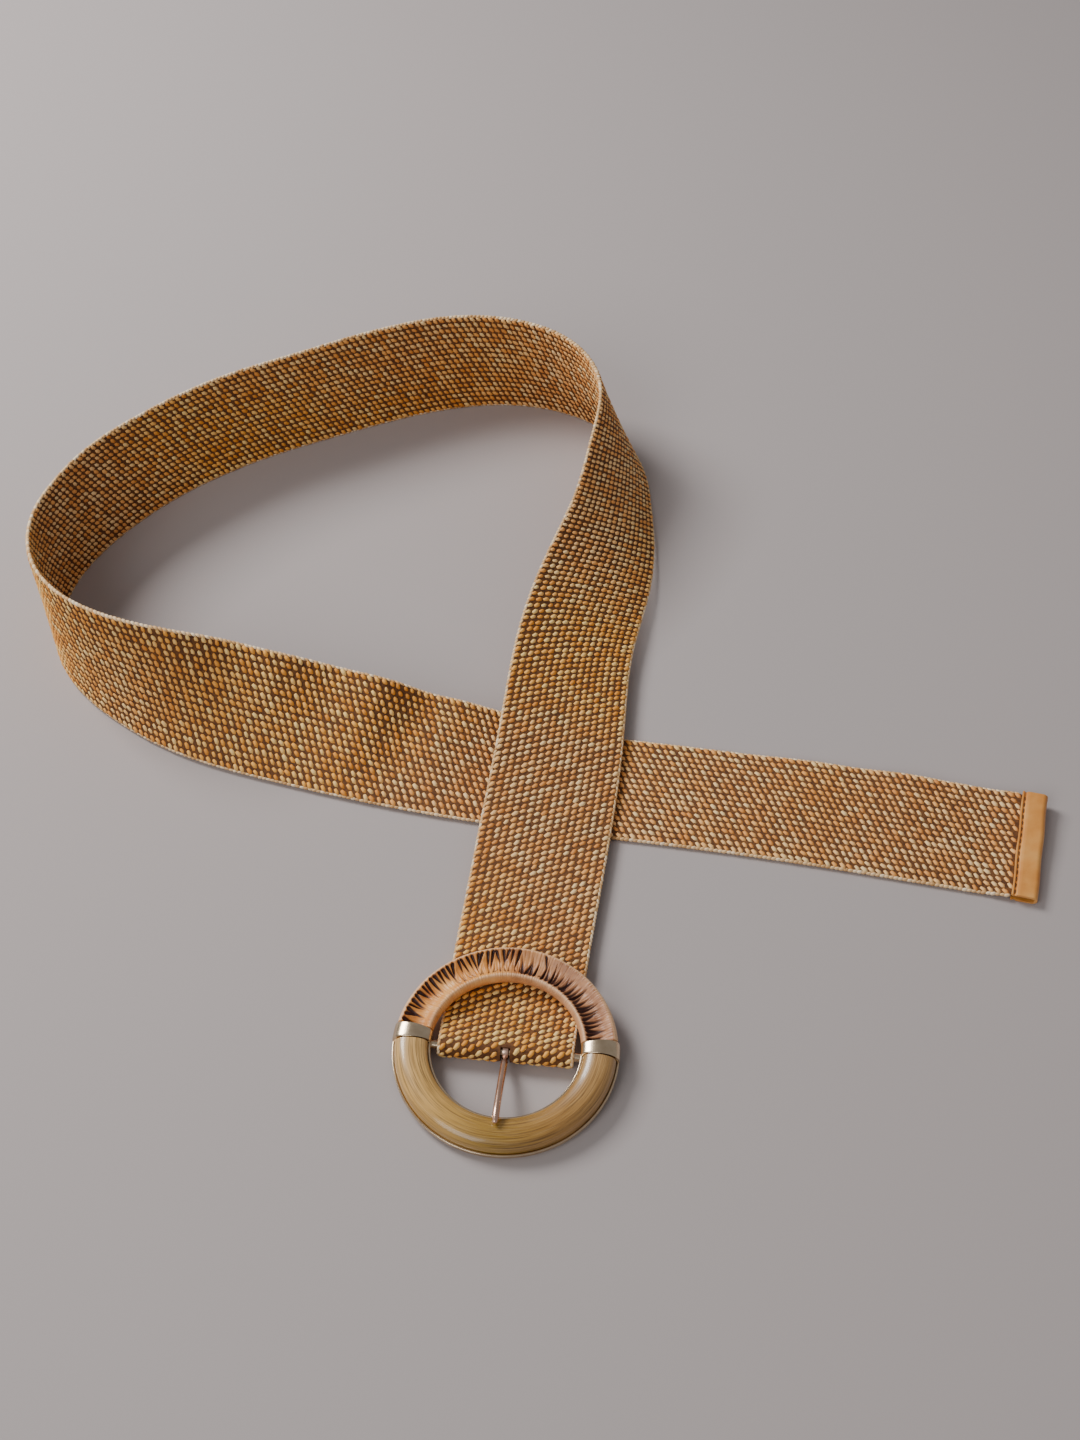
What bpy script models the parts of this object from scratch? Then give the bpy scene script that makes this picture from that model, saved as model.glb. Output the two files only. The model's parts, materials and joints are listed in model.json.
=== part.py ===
"""Waist belt of woven straw with a round buckle, lying in an open loop as it was put down.

The strap runs from the buckle's bar over its own tail, stands up on its edge round
the back of the loop, lies down again and ends flat in a leather-bound tip.
Metres, +Z up. +X runs along the tail, +Y away from the buckle. The origin is on the
floor under the middle of the belt.
"""
import math

import bmesh
import bpy
import numpy as np
from mathutils import Matrix, Vector

MM = 0.001

# Strap
STRAP_LENGTH = 964 * MM          # from the bar to the cut end inside the tip
STRAP_WIDTH = 45 * MM
STRAP_THICKNESS = 2.0 * MM
STRAP_END_THICKNESS = 1.5 * MM   # pressed thinner inside the tip
RETURN_LENGTH = 38 * MM          # end turned back under the strap and sewn to it
LAYER_PLAY = 0.25 * MM           # between two layers of strap
STATION_STEP = 5.6 * MM          # from one section of the strap to the next
FOLD_STEP = 3.3 * MM             # the same, close behind the bar
FOLD_STEPS = 6
COURSE_STEPS = 1200
SHARP_ANGLE = 35                 # degrees between faces past which an edge looks sharp
FOLD_EXIT = 14.0                 # degrees past the top where the strap leaves the bar
FOLD_EASE = 30 * MM              # radius in which the strap levels out behind the bar

# Buckle ring
SIDE_PLAY = 2.1 * MM             # from the strap's edge to the ring's inner edge
RING_WIDTH = 12.0 * MM
INLAY_TOP = 7.6 * MM             # crown of the inlay over the ring's back
CROWN_POWER = 0.8                # under 1 squares the crown's shoulders
BASE_THICKNESS = 1.2 * MM
BASE_CHAMFER = 1.2 * MM          # along the outer edge of the ring's back
RIM_THICKNESS = 0.7 * MM
OUTER_RIM_HEIGHT = 2.7 * MM
INNER_RIM_HEIGHT = 4.2 * MM
COLLAR_SPAN = 9.0                # degrees of ring under each collar
COLLAR_RISE = 3.0                # degrees from the bar up to a collar's middle
COLLAR_PROUD = 0.15 * MM
CORE_WIDTH = 6.6 * MM            # bare metal inside the leather wrap
CORE_HEIGHT = 1.6 * MM
CORE_RAISED = 1.1 * MM           # underside of that metal over the wrap's own
WRAP_INSET = 0.55 * MM           # wrap's outer edge inside the ring's
WRAP_HEIGHT = 5.6 * MM
WRAP_RAISED = 1.0 * MM           # underside of the wrap over the ring's back
WRAP_GROOVE = 0.35 * MM          # how far every other gather is drawn in
GATHERS = 30
FIT_PLAY = 0.3 * MM              # between pieces that touch
UNDER_RING_PLAY = 0.4 * MM       # from the strap to the ring that lies on it

# Bar and prong
BAR_DIAMETER = 2.8 * MM
BAR_HEIGHT = 1.5 * MM            # bar's axis over the ring's back
PRONG_DIAMETER = 2.2 * MM
PRONG_EYE_WALL = 1.0 * MM
PRONG_EYE_WIDTH = 2.0 * MM
PRONG_LAP = 4.3 * MM             # length of prong that lies on the inlay
PRONG_REST = 9.0                 # degrees the shank rises as it leaves the strap's fold
SLOT_PLAY = 0.4 * MM             # round the prong in the strap's slot
SLOT_REACH = 2.5 * MM            # how far the slot's outline runs on outside the fold
PRONG_SWING = 45.0               # degrees the prong lifts off the inlay
BUCKLE_SWING = 60.0              # degrees the ring lifts off the strap

# Tip
TIP_LENGTH = 8.8 * MM
TIP_WALL = 0.9 * MM
TIP_GRIP = 7.0 * MM              # length of strap inside the tip
TIP_PLAY = 0.25 * MM
TIP_APPROACH = 11.6 * MM         # stretch in which the strap rises to the tip and thins

# Heading of the strap's middle line, degrees from +X towards +Y.
# share of the length, heading
HEADING = (
    (0.000, 84), (0.030, 82), (0.100, 81), (0.160, 82), (0.200, 72), (0.250, 84),
    (0.280, 89), (0.310, 121), (0.345, 159), (0.400, 198), (0.460, 207),
    (0.520, 225), (0.570, 248), (0.600, 275), (0.635, 313), (0.680, 343),
    (0.750, 348), (0.840, 352), (0.920, 349), (1.000, 346),
)

# Lean of the strap across its width: 0 lies flat, 90 stands on its lower edge.
# share of the length, lean in degrees
LEAN = (
    (0.000, 0), (0.050, 0), (0.100, 6), (0.160, 21), (0.220, 40),
    (0.280, 62), (0.340, 85), (0.400, 96), (0.500, 95), (0.580, 96),
    (0.620, 90), (0.660, 76), (0.710, 45), (0.770, 23), (0.820, 6),
    (0.850, 0), (0.890, 0), (0.950, 2), (1.000, 3),
)

# What holds the strap's lower edge off the floor: the layer turned back under it,
# as a share of that layer's height, and its climb over its own tail.
# share of the length, share of the layer, thicknesses of strap
LIFT = (
    (0.000, 1.00, 0.00), (0.100, 1.00, 0.00), (0.145, 1.00, 0.50), (0.190, 1.00, 0.42),
    (0.215, 0.80, 0.20), (0.240, 0.30, 0.00), (0.300, 0.00, 0.00), (1.000, 0.00, 0.00),
)

# Width of the strap, as a share of its full width.
# share of the length, width
WIDTH = ((0.00, 0.945), (0.05, 0.98), (0.10, 1.00), (0.95, 1.00), (1.00, 0.97))

# Waves pressed into the strap: they fade out towards its lower edge.
# share of the length, reach as a share of the width, height in thicknesses, slant
WAVES = (
    (0.130, 0.55, 0.35, 0.0),
    (0.205, 0.60, -0.60, 0.1),
    (0.455, 0.70, -0.50, 0.0),
    (0.545, 0.60, 0.50, 0.0),
    (0.700, 0.45, -0.55, 0.1),
    (0.715, 0.45, 0.60, 0.1),
    (0.755, 0.40, 0.90, 0.2),
    (0.770, 0.35, -1.00, 0.2),
    (0.915, 0.45, 0.30, 0.0),
    (0.955, 0.35, 0.30, -0.1),
)

# Half section of the strap: place across the half width, half thickness.
STRAP_SECTION = ((1.0, 0.0), (0.965, 0.85), (0.50, 1.0), (0.0, 1.0))

# Section of the wrap: two thick rims with the leather drawn in between them.
# place across the half width, share of the height
WRAP_SECTION = (
    (1.00, 0.45), (0.97, 0.78), (0.80, 1.00), (0.58, 0.92), (0.28, 0.74), (-0.05, 0.69),
    (-0.38, 0.76), (-0.64, 0.93), (-0.82, 0.97), (-0.97, 0.76), (-1.00, 0.45),
    (-0.85, 0.12), (-0.40, 0.00), (0.40, 0.00), (0.85, 0.12),
)
DRAWN_FROM = 0.5                 # share of the wrap's height over which it is gathered

# Prong, from its eye to its tip.
# share of the way, height as a share of its height on the inlay, share of its thickness
PRONG_LINE = (
    (0.00, 0.00, 0.80), (0.10, 0.12, 1.00), (0.38, 0.52, 1.00), (0.70, 0.88, 1.00),
    (0.85, 0.99, 1.00), (0.95, 1.00, 0.85), (0.99, 0.98, 0.60), (1.00, 0.97, 0.25),
)

# Sizes that follow from those above
BAR_RADIUS = BAR_DIAMETER / 2
FOLD_INNER = BAR_RADIUS + FIT_PLAY
FOLD_MIDDLE = FOLD_INNER + STRAP_THICKNESS / 2
BAR_STRAP_WIDTH = STRAP_WIDTH * WIDTH[0][1]
RING_INNER = BAR_STRAP_WIDTH / 2 + SIDE_PLAY
RING_OUTER = RING_INNER + RING_WIDTH
RING_MIDDLE = (RING_INNER + RING_OUTER) / 2
WRAP_MIDDLE = RING_MIDDLE - WRAP_INSET / 2
CORE_LEVEL = WRAP_RAISED + CORE_RAISED + CORE_HEIGHT / 2
RETURN_LEVEL = STRAP_THICKNESS / 2 + LAYER_PLAY / 2
STRAP_LEVEL = RETURN_LEVEL + STRAP_THICKNESS + LAYER_PLAY
STRAP_TOP = STRAP_LEVEL + STRAP_THICKNESS / 2
# The wrap lies on the strap's two edges and the ring's back on its own front edge.
REST_REACH = math.sqrt(RING_MIDDLE ** 2 - (BAR_STRAP_WIDTH / 2) ** 2)
BACK_REACH = RING_OUTER - BASE_CHAMFER
RING_TILT = math.atan2(STRAP_TOP + UNDER_RING_PLAY - WRAP_RAISED, BACK_REACH + REST_REACH)
BAR_LEVEL = BACK_REACH * math.sin(RING_TILT) + BAR_HEIGHT * math.cos(RING_TILT)

STRAW = (0.56, 0.33, 0.13)
TAN_LEATHER = (0.60, 0.30, 0.11)
LACING = (0.50, 0.25, 0.11)
HORN = (0.42, 0.30, 0.11)
PALE_GOLD = (0.83, 0.68, 0.47)
ROSE_GOLD = (0.78, 0.55, 0.40)


def clear_scene():
    for item in list(bpy.data.objects):
        bpy.data.objects.remove(item, do_unlink=True)


def finish(name, colour, roughness, metallic):
    material = bpy.data.materials.new(name)
    material.use_nodes = True
    shader = material.node_tree.nodes["Principled BSDF"]
    shader.inputs["Base Color"].default_value = (*colour, 1.0)
    shader.inputs["Roughness"].default_value = roughness
    shader.inputs["Metallic"].default_value = metallic
    return material


def read(table, share, column=1, settle=True):
    """A smooth curve through one column. With settle it never passes a row's value."""
    places = np.array([row[0] for row in table], float)
    values = np.array([row[column] for row in table], float)
    gaps = np.diff(places)
    slopes = np.diff(values) / gaps
    tangents = np.zeros(len(values))
    tangents[0], tangents[-1] = slopes[0], slopes[-1]
    inner = (slopes[:-1] * gaps[1:] + slopes[1:] * gaps[:-1]) / (gaps[1:] + gaps[:-1])
    if settle:
        limit = 3 * np.minimum(abs(slopes[:-1]), abs(slopes[1:]))
        inner = np.where(slopes[:-1] * slopes[1:] > 0, np.clip(inner, -limit, limit), 0)
    tangents[1:-1] = inner
    row = np.clip(np.searchsorted(places, share) - 1, 0, len(places) - 2)
    t = (share - places[row]) / gaps[row]
    return (values[row] * (1 + 2 * t) * (1 - t) ** 2
            + tangents[row] * gaps[row] * t * (1 - t) ** 2
            + values[row + 1] * t * t * (3 - 2 * t)
            + tangents[row + 1] * gaps[row] * t * t * (t - 1))


def fold_height(reach):
    """Height of the strap's middle at a distance behind the bar, until it is level."""
    slope = math.radians(FOLD_EXIT)
    leave = FOLD_MIDDLE * math.sin(slope)
    top = BAR_LEVEL + FOLD_MIDDLE * math.cos(slope)
    corner = leave + (top - STRAP_LEVEL) / math.tan(slope)
    ease = FOLD_EASE * math.tan(slope / 2)
    level_from = corner + ease
    if reach >= level_from:
        return STRAP_LEVEL
    if reach <= corner - ease * math.cos(slope):
        return top - (reach - leave) * math.tan(slope)
    across = (level_from - reach) / FOLD_EASE
    return STRAP_LEVEL + FOLD_EASE * (1 - math.sqrt(1 - across ** 2))


def entering_tip(share):
    """0 along the open strap, 1 inside the tip, eased over the stretch between them."""
    before_tip = (1 - share) * STRAP_LENGTH - TIP_GRIP
    entered = np.clip(1 - before_tip / TIP_APPROACH, 0, 1)
    return entered ** 2 * (3 - 2 * entered)


def strap_thickness(share):
    return STRAP_THICKNESS + (STRAP_END_THICKNESS - STRAP_THICKNESS) * entering_tip(share)


def walk_course():
    """Middle line of the strap from over the bar to its end: points, headings, leans."""
    share = np.linspace(0, 1, COURSE_STEPS + 1)
    heading = np.radians(read(HEADING, share, settle=False))
    lean = np.radians(read(LEAN, share))
    layer = STRAP_LEVEL - STRAP_THICKNESS / 2
    lift = layer * read(LIFT, share, 1) + STRAP_THICKNESS * read(LIFT, share, 2)
    thickness = strap_thickness(share)
    lift = lift + (TIP_WALL + TIP_PLAY) * entering_tip(share)
    height = STRAP_WIDTH / 2 * np.sin(lean) + thickness / 2 * np.abs(np.cos(lean)) + lift
    for i, reach in enumerate(share * STRAP_LENGTH):
        near = fold_height(reach)
        if near <= STRAP_LEVEL:
            break
        height[i] += near - STRAP_LEVEL
    step = STRAP_LENGTH / COURSE_STEPS
    along = np.sqrt(np.maximum(step ** 2 - np.diff(height) ** 2, 0))
    middle = (heading[1:] + heading[:-1]) / 2
    x = np.concatenate([[0], np.cumsum(along * np.cos(middle))])
    y = np.concatenate([[0], np.cumsum(along * np.sin(middle))])
    return share, np.stack([x, y, height], 1), heading, lean


def wave_at(share, across):
    """How far a wave lifts the strap off its even surface, at -1 to 1 across the width."""
    total = 0.0
    for place, reach, height, slant in WAVES:
        span = reach * STRAP_WIDTH / STRAP_LENGTH
        t = (share - place - slant * across * span) / span
        if abs(t) < 1:
            total += height * STRAP_THICKNESS * (1 - t * t) ** 2
    return total * (across + 1) / 2


class Station:
    """One section of the strap: its middle, the way across it and the way out of it."""

    def __init__(self, middle, across, share, width, thickness):
        self.middle = Vector(middle)
        self.across = Vector(across)
        self.share = share
        self.width = width
        self.thickness = thickness
        self.out = Vector((0, 0, 1))

    def point(self, place, depth):
        bulge = wave_at(self.share, place)
        lift = depth * self.thickness / 2 + bulge
        return self.middle + self.across * (place * self.width / 2) + self.out * lift


def strap_stations():
    share, line, heading, lean = walk_course()
    ahead = Vector((math.cos(heading[0]), math.sin(heading[0]), 0))
    across = Vector((-ahead.y, ahead.x, 0))
    up = Vector((0, 0, 1))
    stations = []

    def add(middle, side, place=0.0, width=BAR_STRAP_WIDTH, thickness=STRAP_THICKNESS):
        stations.append(Station(middle, side, place, width, thickness))

    bottom = BAR_LEVEL - FOLD_MIDDLE
    for t in np.linspace(1, 0, 8)[:-1]:
        ease = (1 - t) ** 2 * (1 + 2 * t)
        level = RETURN_LEVEL + (bottom - RETURN_LEVEL) * ease
        add(ahead * (t * RETURN_LENGTH) + up * level, across)
    for turn in np.linspace(-90, -270 - FOLD_EXIT, 15):
        a = math.radians(turn)
        arm = ahead * math.cos(a) + up * math.sin(a)
        add(up * BAR_LEVEL + arm * FOLD_MIDDLE, across)

    count = round(STRAP_LENGTH / STATION_STEP)
    near = [FOLD_STEP * k / STRAP_LENGTH for k in range(2, FOLD_STEPS + 1)]
    past = (FOLD_STEPS + 0.5) * FOLD_STEP / STRAP_LENGTH
    shares = near + [s for s in np.linspace(0, 1, count + 1) if s > past]
    for s in shares:
        i = int(round(s * COURSE_STEPS))
        h, l = heading[i], lean[i]
        side = (-math.sin(h) * math.cos(l), math.cos(h) * math.cos(l), math.sin(l))
        width = STRAP_WIDTH * float(read(WIDTH, share[i]))
        add(line[i], side, share[i], width, float(strap_thickness(share[i])))

    for i, station in enumerate(stations):
        before = stations[max(i - 1, 0)].middle
        after = stations[min(i + 1, len(stations) - 1)].middle
        forward = (after - before).normalized()
        station.out = forward.cross(station.across).normalized()
        station.across = station.out.cross(forward).normalized()
        station.forward = forward
    return stations


def strap_outline(station):
    """Points round one section: along the outer face and back along the inner face."""
    half = list(STRAP_SECTION)
    outer = [(p, d) for p, d in half] + [(-p, d) for p, d in reversed(half[:-1])]
    inner = [(-p, -d) for p, d in half[1:]] + [(p, -d) for p, d in reversed(half[1:-1])]
    return [station.point(p, d) for p, d in outer + inner]


def mesh_object(name, points, faces, material):
    mesh = bpy.data.meshes.new(name)
    body = bmesh.new()
    made = [body.verts.new(p) for p in points]
    for face in faces:
        body.faces.new([made[i] for i in face])
    bmesh.ops.recalc_face_normals(body, faces=body.faces)
    body.to_mesh(mesh)
    body.free()
    mesh.materials.append(material)
    item = bpy.data.objects.new(name, mesh)
    bpy.context.collection.objects.link(item)
    return item


def swept(name, rings, material):
    """A closed solid through a row of sections that all have as many points."""
    count = len(rings[0])
    points = [p for ring in rings for p in ring]
    faces = []
    for r in range(len(rings) - 1):
        for i in range(count):
            j = (i + 1) % count
            faces.append((r * count + i, r * count + j, (r + 1) * count + j, (r + 1) * count + i))
    last = (len(rings) - 1) * count
    faces.append(tuple(range(count)))
    faces.append(tuple(last + i for i in range(count)))
    return mesh_object(name, points, faces, material)


def sleeve(name, outer_rings, inner_rings, material):
    """A closed solid with a way through: an outer skin, an inner skin and two end faces."""
    count = len(outer_rings[0])
    total = len(outer_rings)
    points = [p for ring in outer_rings for p in ring] + [p for ring in inner_rings for p in ring]
    start = total * count
    faces = []
    for r in range(total - 1):
        for i in range(count):
            j = (i + 1) % count
            a, b, c, d = r * count + i, r * count + j, (r + 1) * count + j, (r + 1) * count + i
            faces.append((a, b, c, d))
            faces.append((start + a, start + d, start + c, start + b))
    for r in (0, total - 1):
        for i in range(count):
            j = (i + 1) % count
            a, b = r * count + i, r * count + j
            faces.append((a, b, start + b, start + a))
    return mesh_object(name, points, faces, material)


def shade_round(item, angle=SHARP_ANGLE):
    item.data.shade_smooth()
    item.data.set_sharp_from_angle(angle=math.radians(angle))


def at_angle(section, degrees):
    """A section of (radius, height) points stood up at one angle of the ring."""
    a = math.radians(degrees)
    return [Vector((r * math.cos(a), r * math.sin(a), z)) for r, z in section]


def ring_piece(name, section, start, end, steps, material):
    angles = [start + (end - start) * i / steps for i in range(steps + 1)]
    return swept(name, [at_angle(section, a) for a in angles], material)


def oval(half_width, half_height, count):
    """Points (radius, height) round the metal core or the hole for it, corners squared."""
    points = []
    for i in range(count):
        a = 2 * math.pi * i / count
        c, s = math.cos(a), math.sin(a)
        points.append((WRAP_MIDDLE + half_width * math.copysign(abs(c) ** CROWN_POWER, c),
                       CORE_LEVEL + half_height * math.copysign(abs(s) ** CROWN_POWER, s)))
    return points


def dome(inner, outer, foot, shoulder_in, shoulder_out, crown, count):
    """A flat-footed section whose top is rounded from its outer to its inner side."""
    points = [(inner, foot), (outer, foot), (outer, shoulder_out)]
    middle, half = (inner + outer) / 2, (outer - inner) / 2
    for i in range(1, count):
        a = math.pi * i / count
        shoulder = shoulder_out + (shoulder_in - shoulder_out) * i / count
        points.append((middle + half * math.cos(a),
                       shoulder + (crown - shoulder) * math.sin(a) ** CROWN_POWER))
    points.append((inner, shoulder_in))
    return points


def hidden(item):
    item.hide_render = True
    item.display_type = 'WIRE'
    item.hide_set(True)
    return item


def combine(item, tool, how):
    modifier = item.modifiers.new(how.lower(), 'BOOLEAN')
    modifier.operation = how
    modifier.solver = 'EXACT'
    modifier.object = tool


def seat(item, buckle, raised=0.0):
    item.parent = buckle
    item.location = (0, 0, raised)


def build_strap(straw, stations):
    strap = swept("woven_strap", [strap_outline(s) for s in stations], straw)
    shade_round(strap)
    return strap


def slot_cutter(buckle, straw):
    """The slit through the strap's fold: room for the prong's eye and for its swing."""
    eye = BAR_RADIUS + FIT_PLAY + PRONG_EYE_WALL + FIT_PLAY
    reach = FOLD_INNER + STRAP_THICKNESS + SLOT_REACH
    half = PRONG_DIAMETER / 2 + SLOT_PLAY
    spare = math.degrees(math.asin(half / eye))
    low, high = -BUCKLE_SWING - spare, PRONG_REST + PRONG_SWING + spare
    outline = []
    for i in range(13):
        a = math.radians(180 - (low + (high - low) * i / 12))
        outline.append((reach * math.cos(a), reach * math.sin(a)))
    for i in range(13):
        a = math.radians(180 - (high + (360 - (high - low)) * i / 12))
        outline.append((eye * math.cos(a), eye * math.sin(a)))
    rings = [[Vector((x, p, q)) for p, q in outline] for x in (-half, half)]
    cutter = hidden(swept("slot_cutter", rings, straw))
    seat(cutter, buckle, BAR_HEIGHT)
    cutter.rotation_euler = (-RING_TILT, 0, 0)
    return cutter


def build_frame(buckle, gold):
    """Channel for the inlay, bare half under the wrap, two collars and the bar, as one."""
    channel = (
        (RING_INNER, 0), (BACK_REACH, 0), (RING_OUTER, BASE_CHAMFER), (RING_OUTER, OUTER_RIM_HEIGHT),
        (RING_OUTER - RIM_THICKNESS, OUTER_RIM_HEIGHT), (RING_OUTER - RIM_THICKNESS, BASE_THICKNESS),
        (RING_INNER + RIM_THICKNESS, BASE_THICKNESS), (RING_INNER + RIM_THICKNESS, INNER_RIM_HEIGHT),
        (RING_INNER, INNER_RIM_HEIGHT),
    )
    low, high = COLLAR_RISE - COLLAR_SPAN / 2, COLLAR_RISE + COLLAR_SPAN / 2
    frame = ring_piece("buckle_frame", channel, 180 - COLLAR_RISE, 360 + COLLAR_RISE, 28, gold)
    collar = dome(RING_INNER - COLLAR_PROUD, RING_OUTER + COLLAR_PROUD, -COLLAR_PROUD,
                  INNER_RIM_HEIGHT, OUTER_RIM_HEIGHT, INLAY_TOP + COLLAR_PROUD, 8)
    core = oval(CORE_WIDTH / 2, CORE_HEIGHT / 2, len(WRAP_SECTION))
    bar = [[Vector((x, BAR_RADIUS * math.cos(a), BAR_HEIGHT + BAR_RADIUS * math.sin(a)))
            for a in (2 * math.pi * i / 16 for i in range(16))]
           for x in (-RING_INNER - RIM_THICKNESS / 2, RING_INNER + RIM_THICKNESS / 2)]
    parts = [
        ring_piece("right_collar", collar, low, high, 3, gold),
        ring_piece("left_collar", collar, 180 - high, 180 - low, 3, gold),
        ring_piece("bare_half", core, COLLAR_RISE, 180 - COLLAR_RISE, 24, gold),
        swept("bar", bar, gold),
    ]
    for part in parts:
        seat(hidden(part), buckle)
        combine(frame, part, 'UNION')
    seat(frame, buckle)
    shade_round(frame)


def build_inlay(buckle, horn):
    gap = FIT_PLAY / RING_INNER * 180 / math.pi
    start = 180 + COLLAR_SPAN / 2 - COLLAR_RISE + gap
    section = dome(RING_INNER + RIM_THICKNESS + FIT_PLAY, RING_OUTER - RIM_THICKNESS - FIT_PLAY,
                   BASE_THICKNESS + FIT_PLAY, INNER_RIM_HEIGHT + FIT_PLAY, OUTER_RIM_HEIGHT + FIT_PLAY,
                   INLAY_TOP, 8)
    inlay = ring_piece("horn_inlay", section, start, 540 - start, 30, horn)
    seat(inlay, buckle)
    shade_round(inlay)


def build_wrap(buckle, lacing):
    """Leather gathered round the upper half, drawn in between two rims by its lacing."""
    gap = FIT_PLAY / RING_INNER * 180 / math.pi
    start = COLLAR_RISE + COLLAR_SPAN / 2 + gap
    steps = 2 * GATHERS
    half = RING_OUTER - WRAP_INSET - WRAP_MIDDLE
    inside = oval(CORE_WIDTH / 2 + FIT_PLAY, CORE_HEIGHT / 2 + FIT_PLAY, len(WRAP_SECTION))
    outer_rings, inner_rings = [], []
    for i in range(steps + 1):
        angle = start + (180 - 2 * start) * i / steps
        drawn = WRAP_GROOVE if i % 2 == 0 else 0.0
        ring = []
        for place, share in WRAP_SECTION:
            sunk = drawn if share > DRAWN_FROM else 0.0
            ring.append((WRAP_MIDDLE + half * place, WRAP_RAISED + WRAP_HEIGHT * share - sunk))
        outer_rings.append(at_angle(ring, angle))
        inner_rings.append(at_angle(inside, angle))
    wrap = sleeve("leather_wrap", outer_rings, inner_rings, lacing)
    seat(wrap, buckle)
    shade_round(wrap)


def inlay_height(radius):
    """Top of the inlay over the ring's back at one radius, as its section has it."""
    inner = RING_INNER + RIM_THICKNESS + FIT_PLAY
    outer = RING_OUTER - RIM_THICKNESS - FIT_PLAY
    middle, half = (inner + outer) / 2, (outer - inner) / 2
    a = math.acos(max(-1, min(1, (radius - middle) / half)))
    shoulder_out, shoulder_in = OUTER_RIM_HEIGHT + FIT_PLAY, INNER_RIM_HEIGHT + FIT_PLAY
    shoulder = shoulder_out + (shoulder_in - shoulder_out) * a / math.pi
    return shoulder + (INLAY_TOP - shoulder) * math.sin(a) ** CROWN_POWER


def build_prong(buckle, rose):
    """A wire turned into an eye round the bar, its end bent to lie on the inlay."""
    radius = PRONG_DIAMETER / 2
    eye_inner = BAR_RADIUS + FIT_PLAY
    eye_outer = eye_inner + PRONG_EYE_WALL
    first = (eye_inner + eye_outer) / 2
    tip_reach = RING_INNER + PRONG_LAP
    rest_level = inlay_height(tip_reach) + FIT_PLAY + radius - BAR_HEIGHT
    wire = [(first + (tip_reach - first) * way, rest_level * climb, radius * thick)
            for way, climb, thick in PRONG_LINE]
    sides = 12
    rings = []
    for i, (reach, level, size) in enumerate(wire):
        before, after = wire[max(i - 1, 0)], wire[min(i + 1, len(wire) - 1)]
        lean = math.atan2(after[1] - before[1], after[0] - before[0])
        ring = []
        for k in range(sides):
            a = 2 * math.pi * k / sides
            side, rise = size * math.cos(a), size * math.sin(a)
            ring.append(Vector((side, -reach + rise * math.sin(lean), level + rise * math.cos(lean))))
        rings.append(ring)
    prong = swept("prong", rings, rose)
    half = PRONG_EYE_WIDTH / 2
    outside = [[Vector((x, eye_outer * math.cos(a), eye_outer * math.sin(a)))
                for a in (2 * math.pi * k / 20 for k in range(20))] for x in (-half, half)]
    inside = [[Vector((x, eye_inner * math.cos(a), eye_inner * math.sin(a)))
               for a in (2 * math.pi * k / 20 for k in range(20))] for x in (-half, half)]
    eye = hidden(sleeve("prong_eye", outside, inside, rose))
    seat(eye, buckle, BAR_HEIGHT)
    seat(prong, buckle, BAR_HEIGHT)
    combine(prong, eye, 'UNION')
    shade_round(prong)


def build_tip(stations, leather):
    """One strip of leather folded over the strap's end and glued to both faces."""
    last = stations[-1]
    inner = STRAP_END_THICKNESS / 2 + TIP_PLAY
    outer = inner + TIP_WALL
    bend = TIP_LENGTH - TIP_GRIP - outer
    arc = [math.pi * (0.5 - i / 8) for i in range(9)]
    outline = [(-TIP_GRIP, outer)]
    outline += [(bend + outer * math.cos(a), outer * math.sin(a)) for a in arc]
    outline += [(-TIP_GRIP, -outer), (-TIP_GRIP, -inner)]
    outline += [(bend + inner * math.cos(a), inner * math.sin(a)) for a in reversed(arc)]
    outline += [(-TIP_GRIP, inner)]
    rings = []
    half = last.width / 2
    for side in (-half, half):
        rings.append([last.middle + last.forward * p + last.out * q + last.across * side
                      for p, q in outline])
    tip = swept("strap_tip", rings, leather)
    shade_round(tip)


def stand_on_origin(buckle, straps):
    """Moves the whole belt so that the floor under its middle is the origin."""
    bpy.context.view_layer.update()
    corners = []
    for item in bpy.context.scene.objects:
        if item.type == 'MESH' and not item.hide_render:
            corners += [item.matrix_world @ v.co for v in item.data.vertices]
    low = Vector([min(c[k] for c in corners) for k in range(3)])
    high = Vector([max(c[k] for c in corners) for k in range(3)])
    shift = Vector((-(low.x + high.x) / 2, -(low.y + high.y) / 2, -low.z))
    for item in straps:
        item.location = item.location + shift
    buckle.location = buckle.location + shift
    bpy.context.view_layer.update()


def main():
    clear_scene()
    straw = finish("straw", STRAW, 0.75, 0.0)
    leather = finish("tip_leather", TAN_LEATHER, 0.45, 0.0)
    lacing = finish("lacing_leather", LACING, 0.55, 0.0)
    horn = finish("horn", HORN, 0.25, 0.0)
    gold = finish("pale_gold", PALE_GOLD, 0.22, 1.0)
    rose = finish("rose_gold", ROSE_GOLD, 0.25, 1.0)

    # The buckle's empty is on the bar's axis, at the ring's back: X runs along the bar.
    buckle = bpy.data.objects.new("buckle_seat", None)
    bpy.context.collection.objects.link(buckle)
    turn = Matrix.Rotation(math.radians(HEADING[0][1] - 90), 4, 'Z')
    tilt = Matrix.Rotation(RING_TILT, 4, 'X')
    buckle.matrix_world = turn @ tilt
    buckle.location = turn @ Vector((0, BAR_HEIGHT * math.sin(RING_TILT),
                                     BAR_LEVEL - BAR_HEIGHT * math.cos(RING_TILT)))

    stations = strap_stations()
    strap = build_strap(straw, stations)
    combine(strap, slot_cutter(buckle, straw), 'DIFFERENCE')
    build_frame(buckle, gold)
    build_inlay(buckle, horn)
    build_wrap(buckle, lacing)
    build_prong(buckle, rose)
    build_tip(stations, leather)
    stand_on_origin(buckle, [strap, bpy.data.objects["strap_tip"]])


main()
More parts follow.
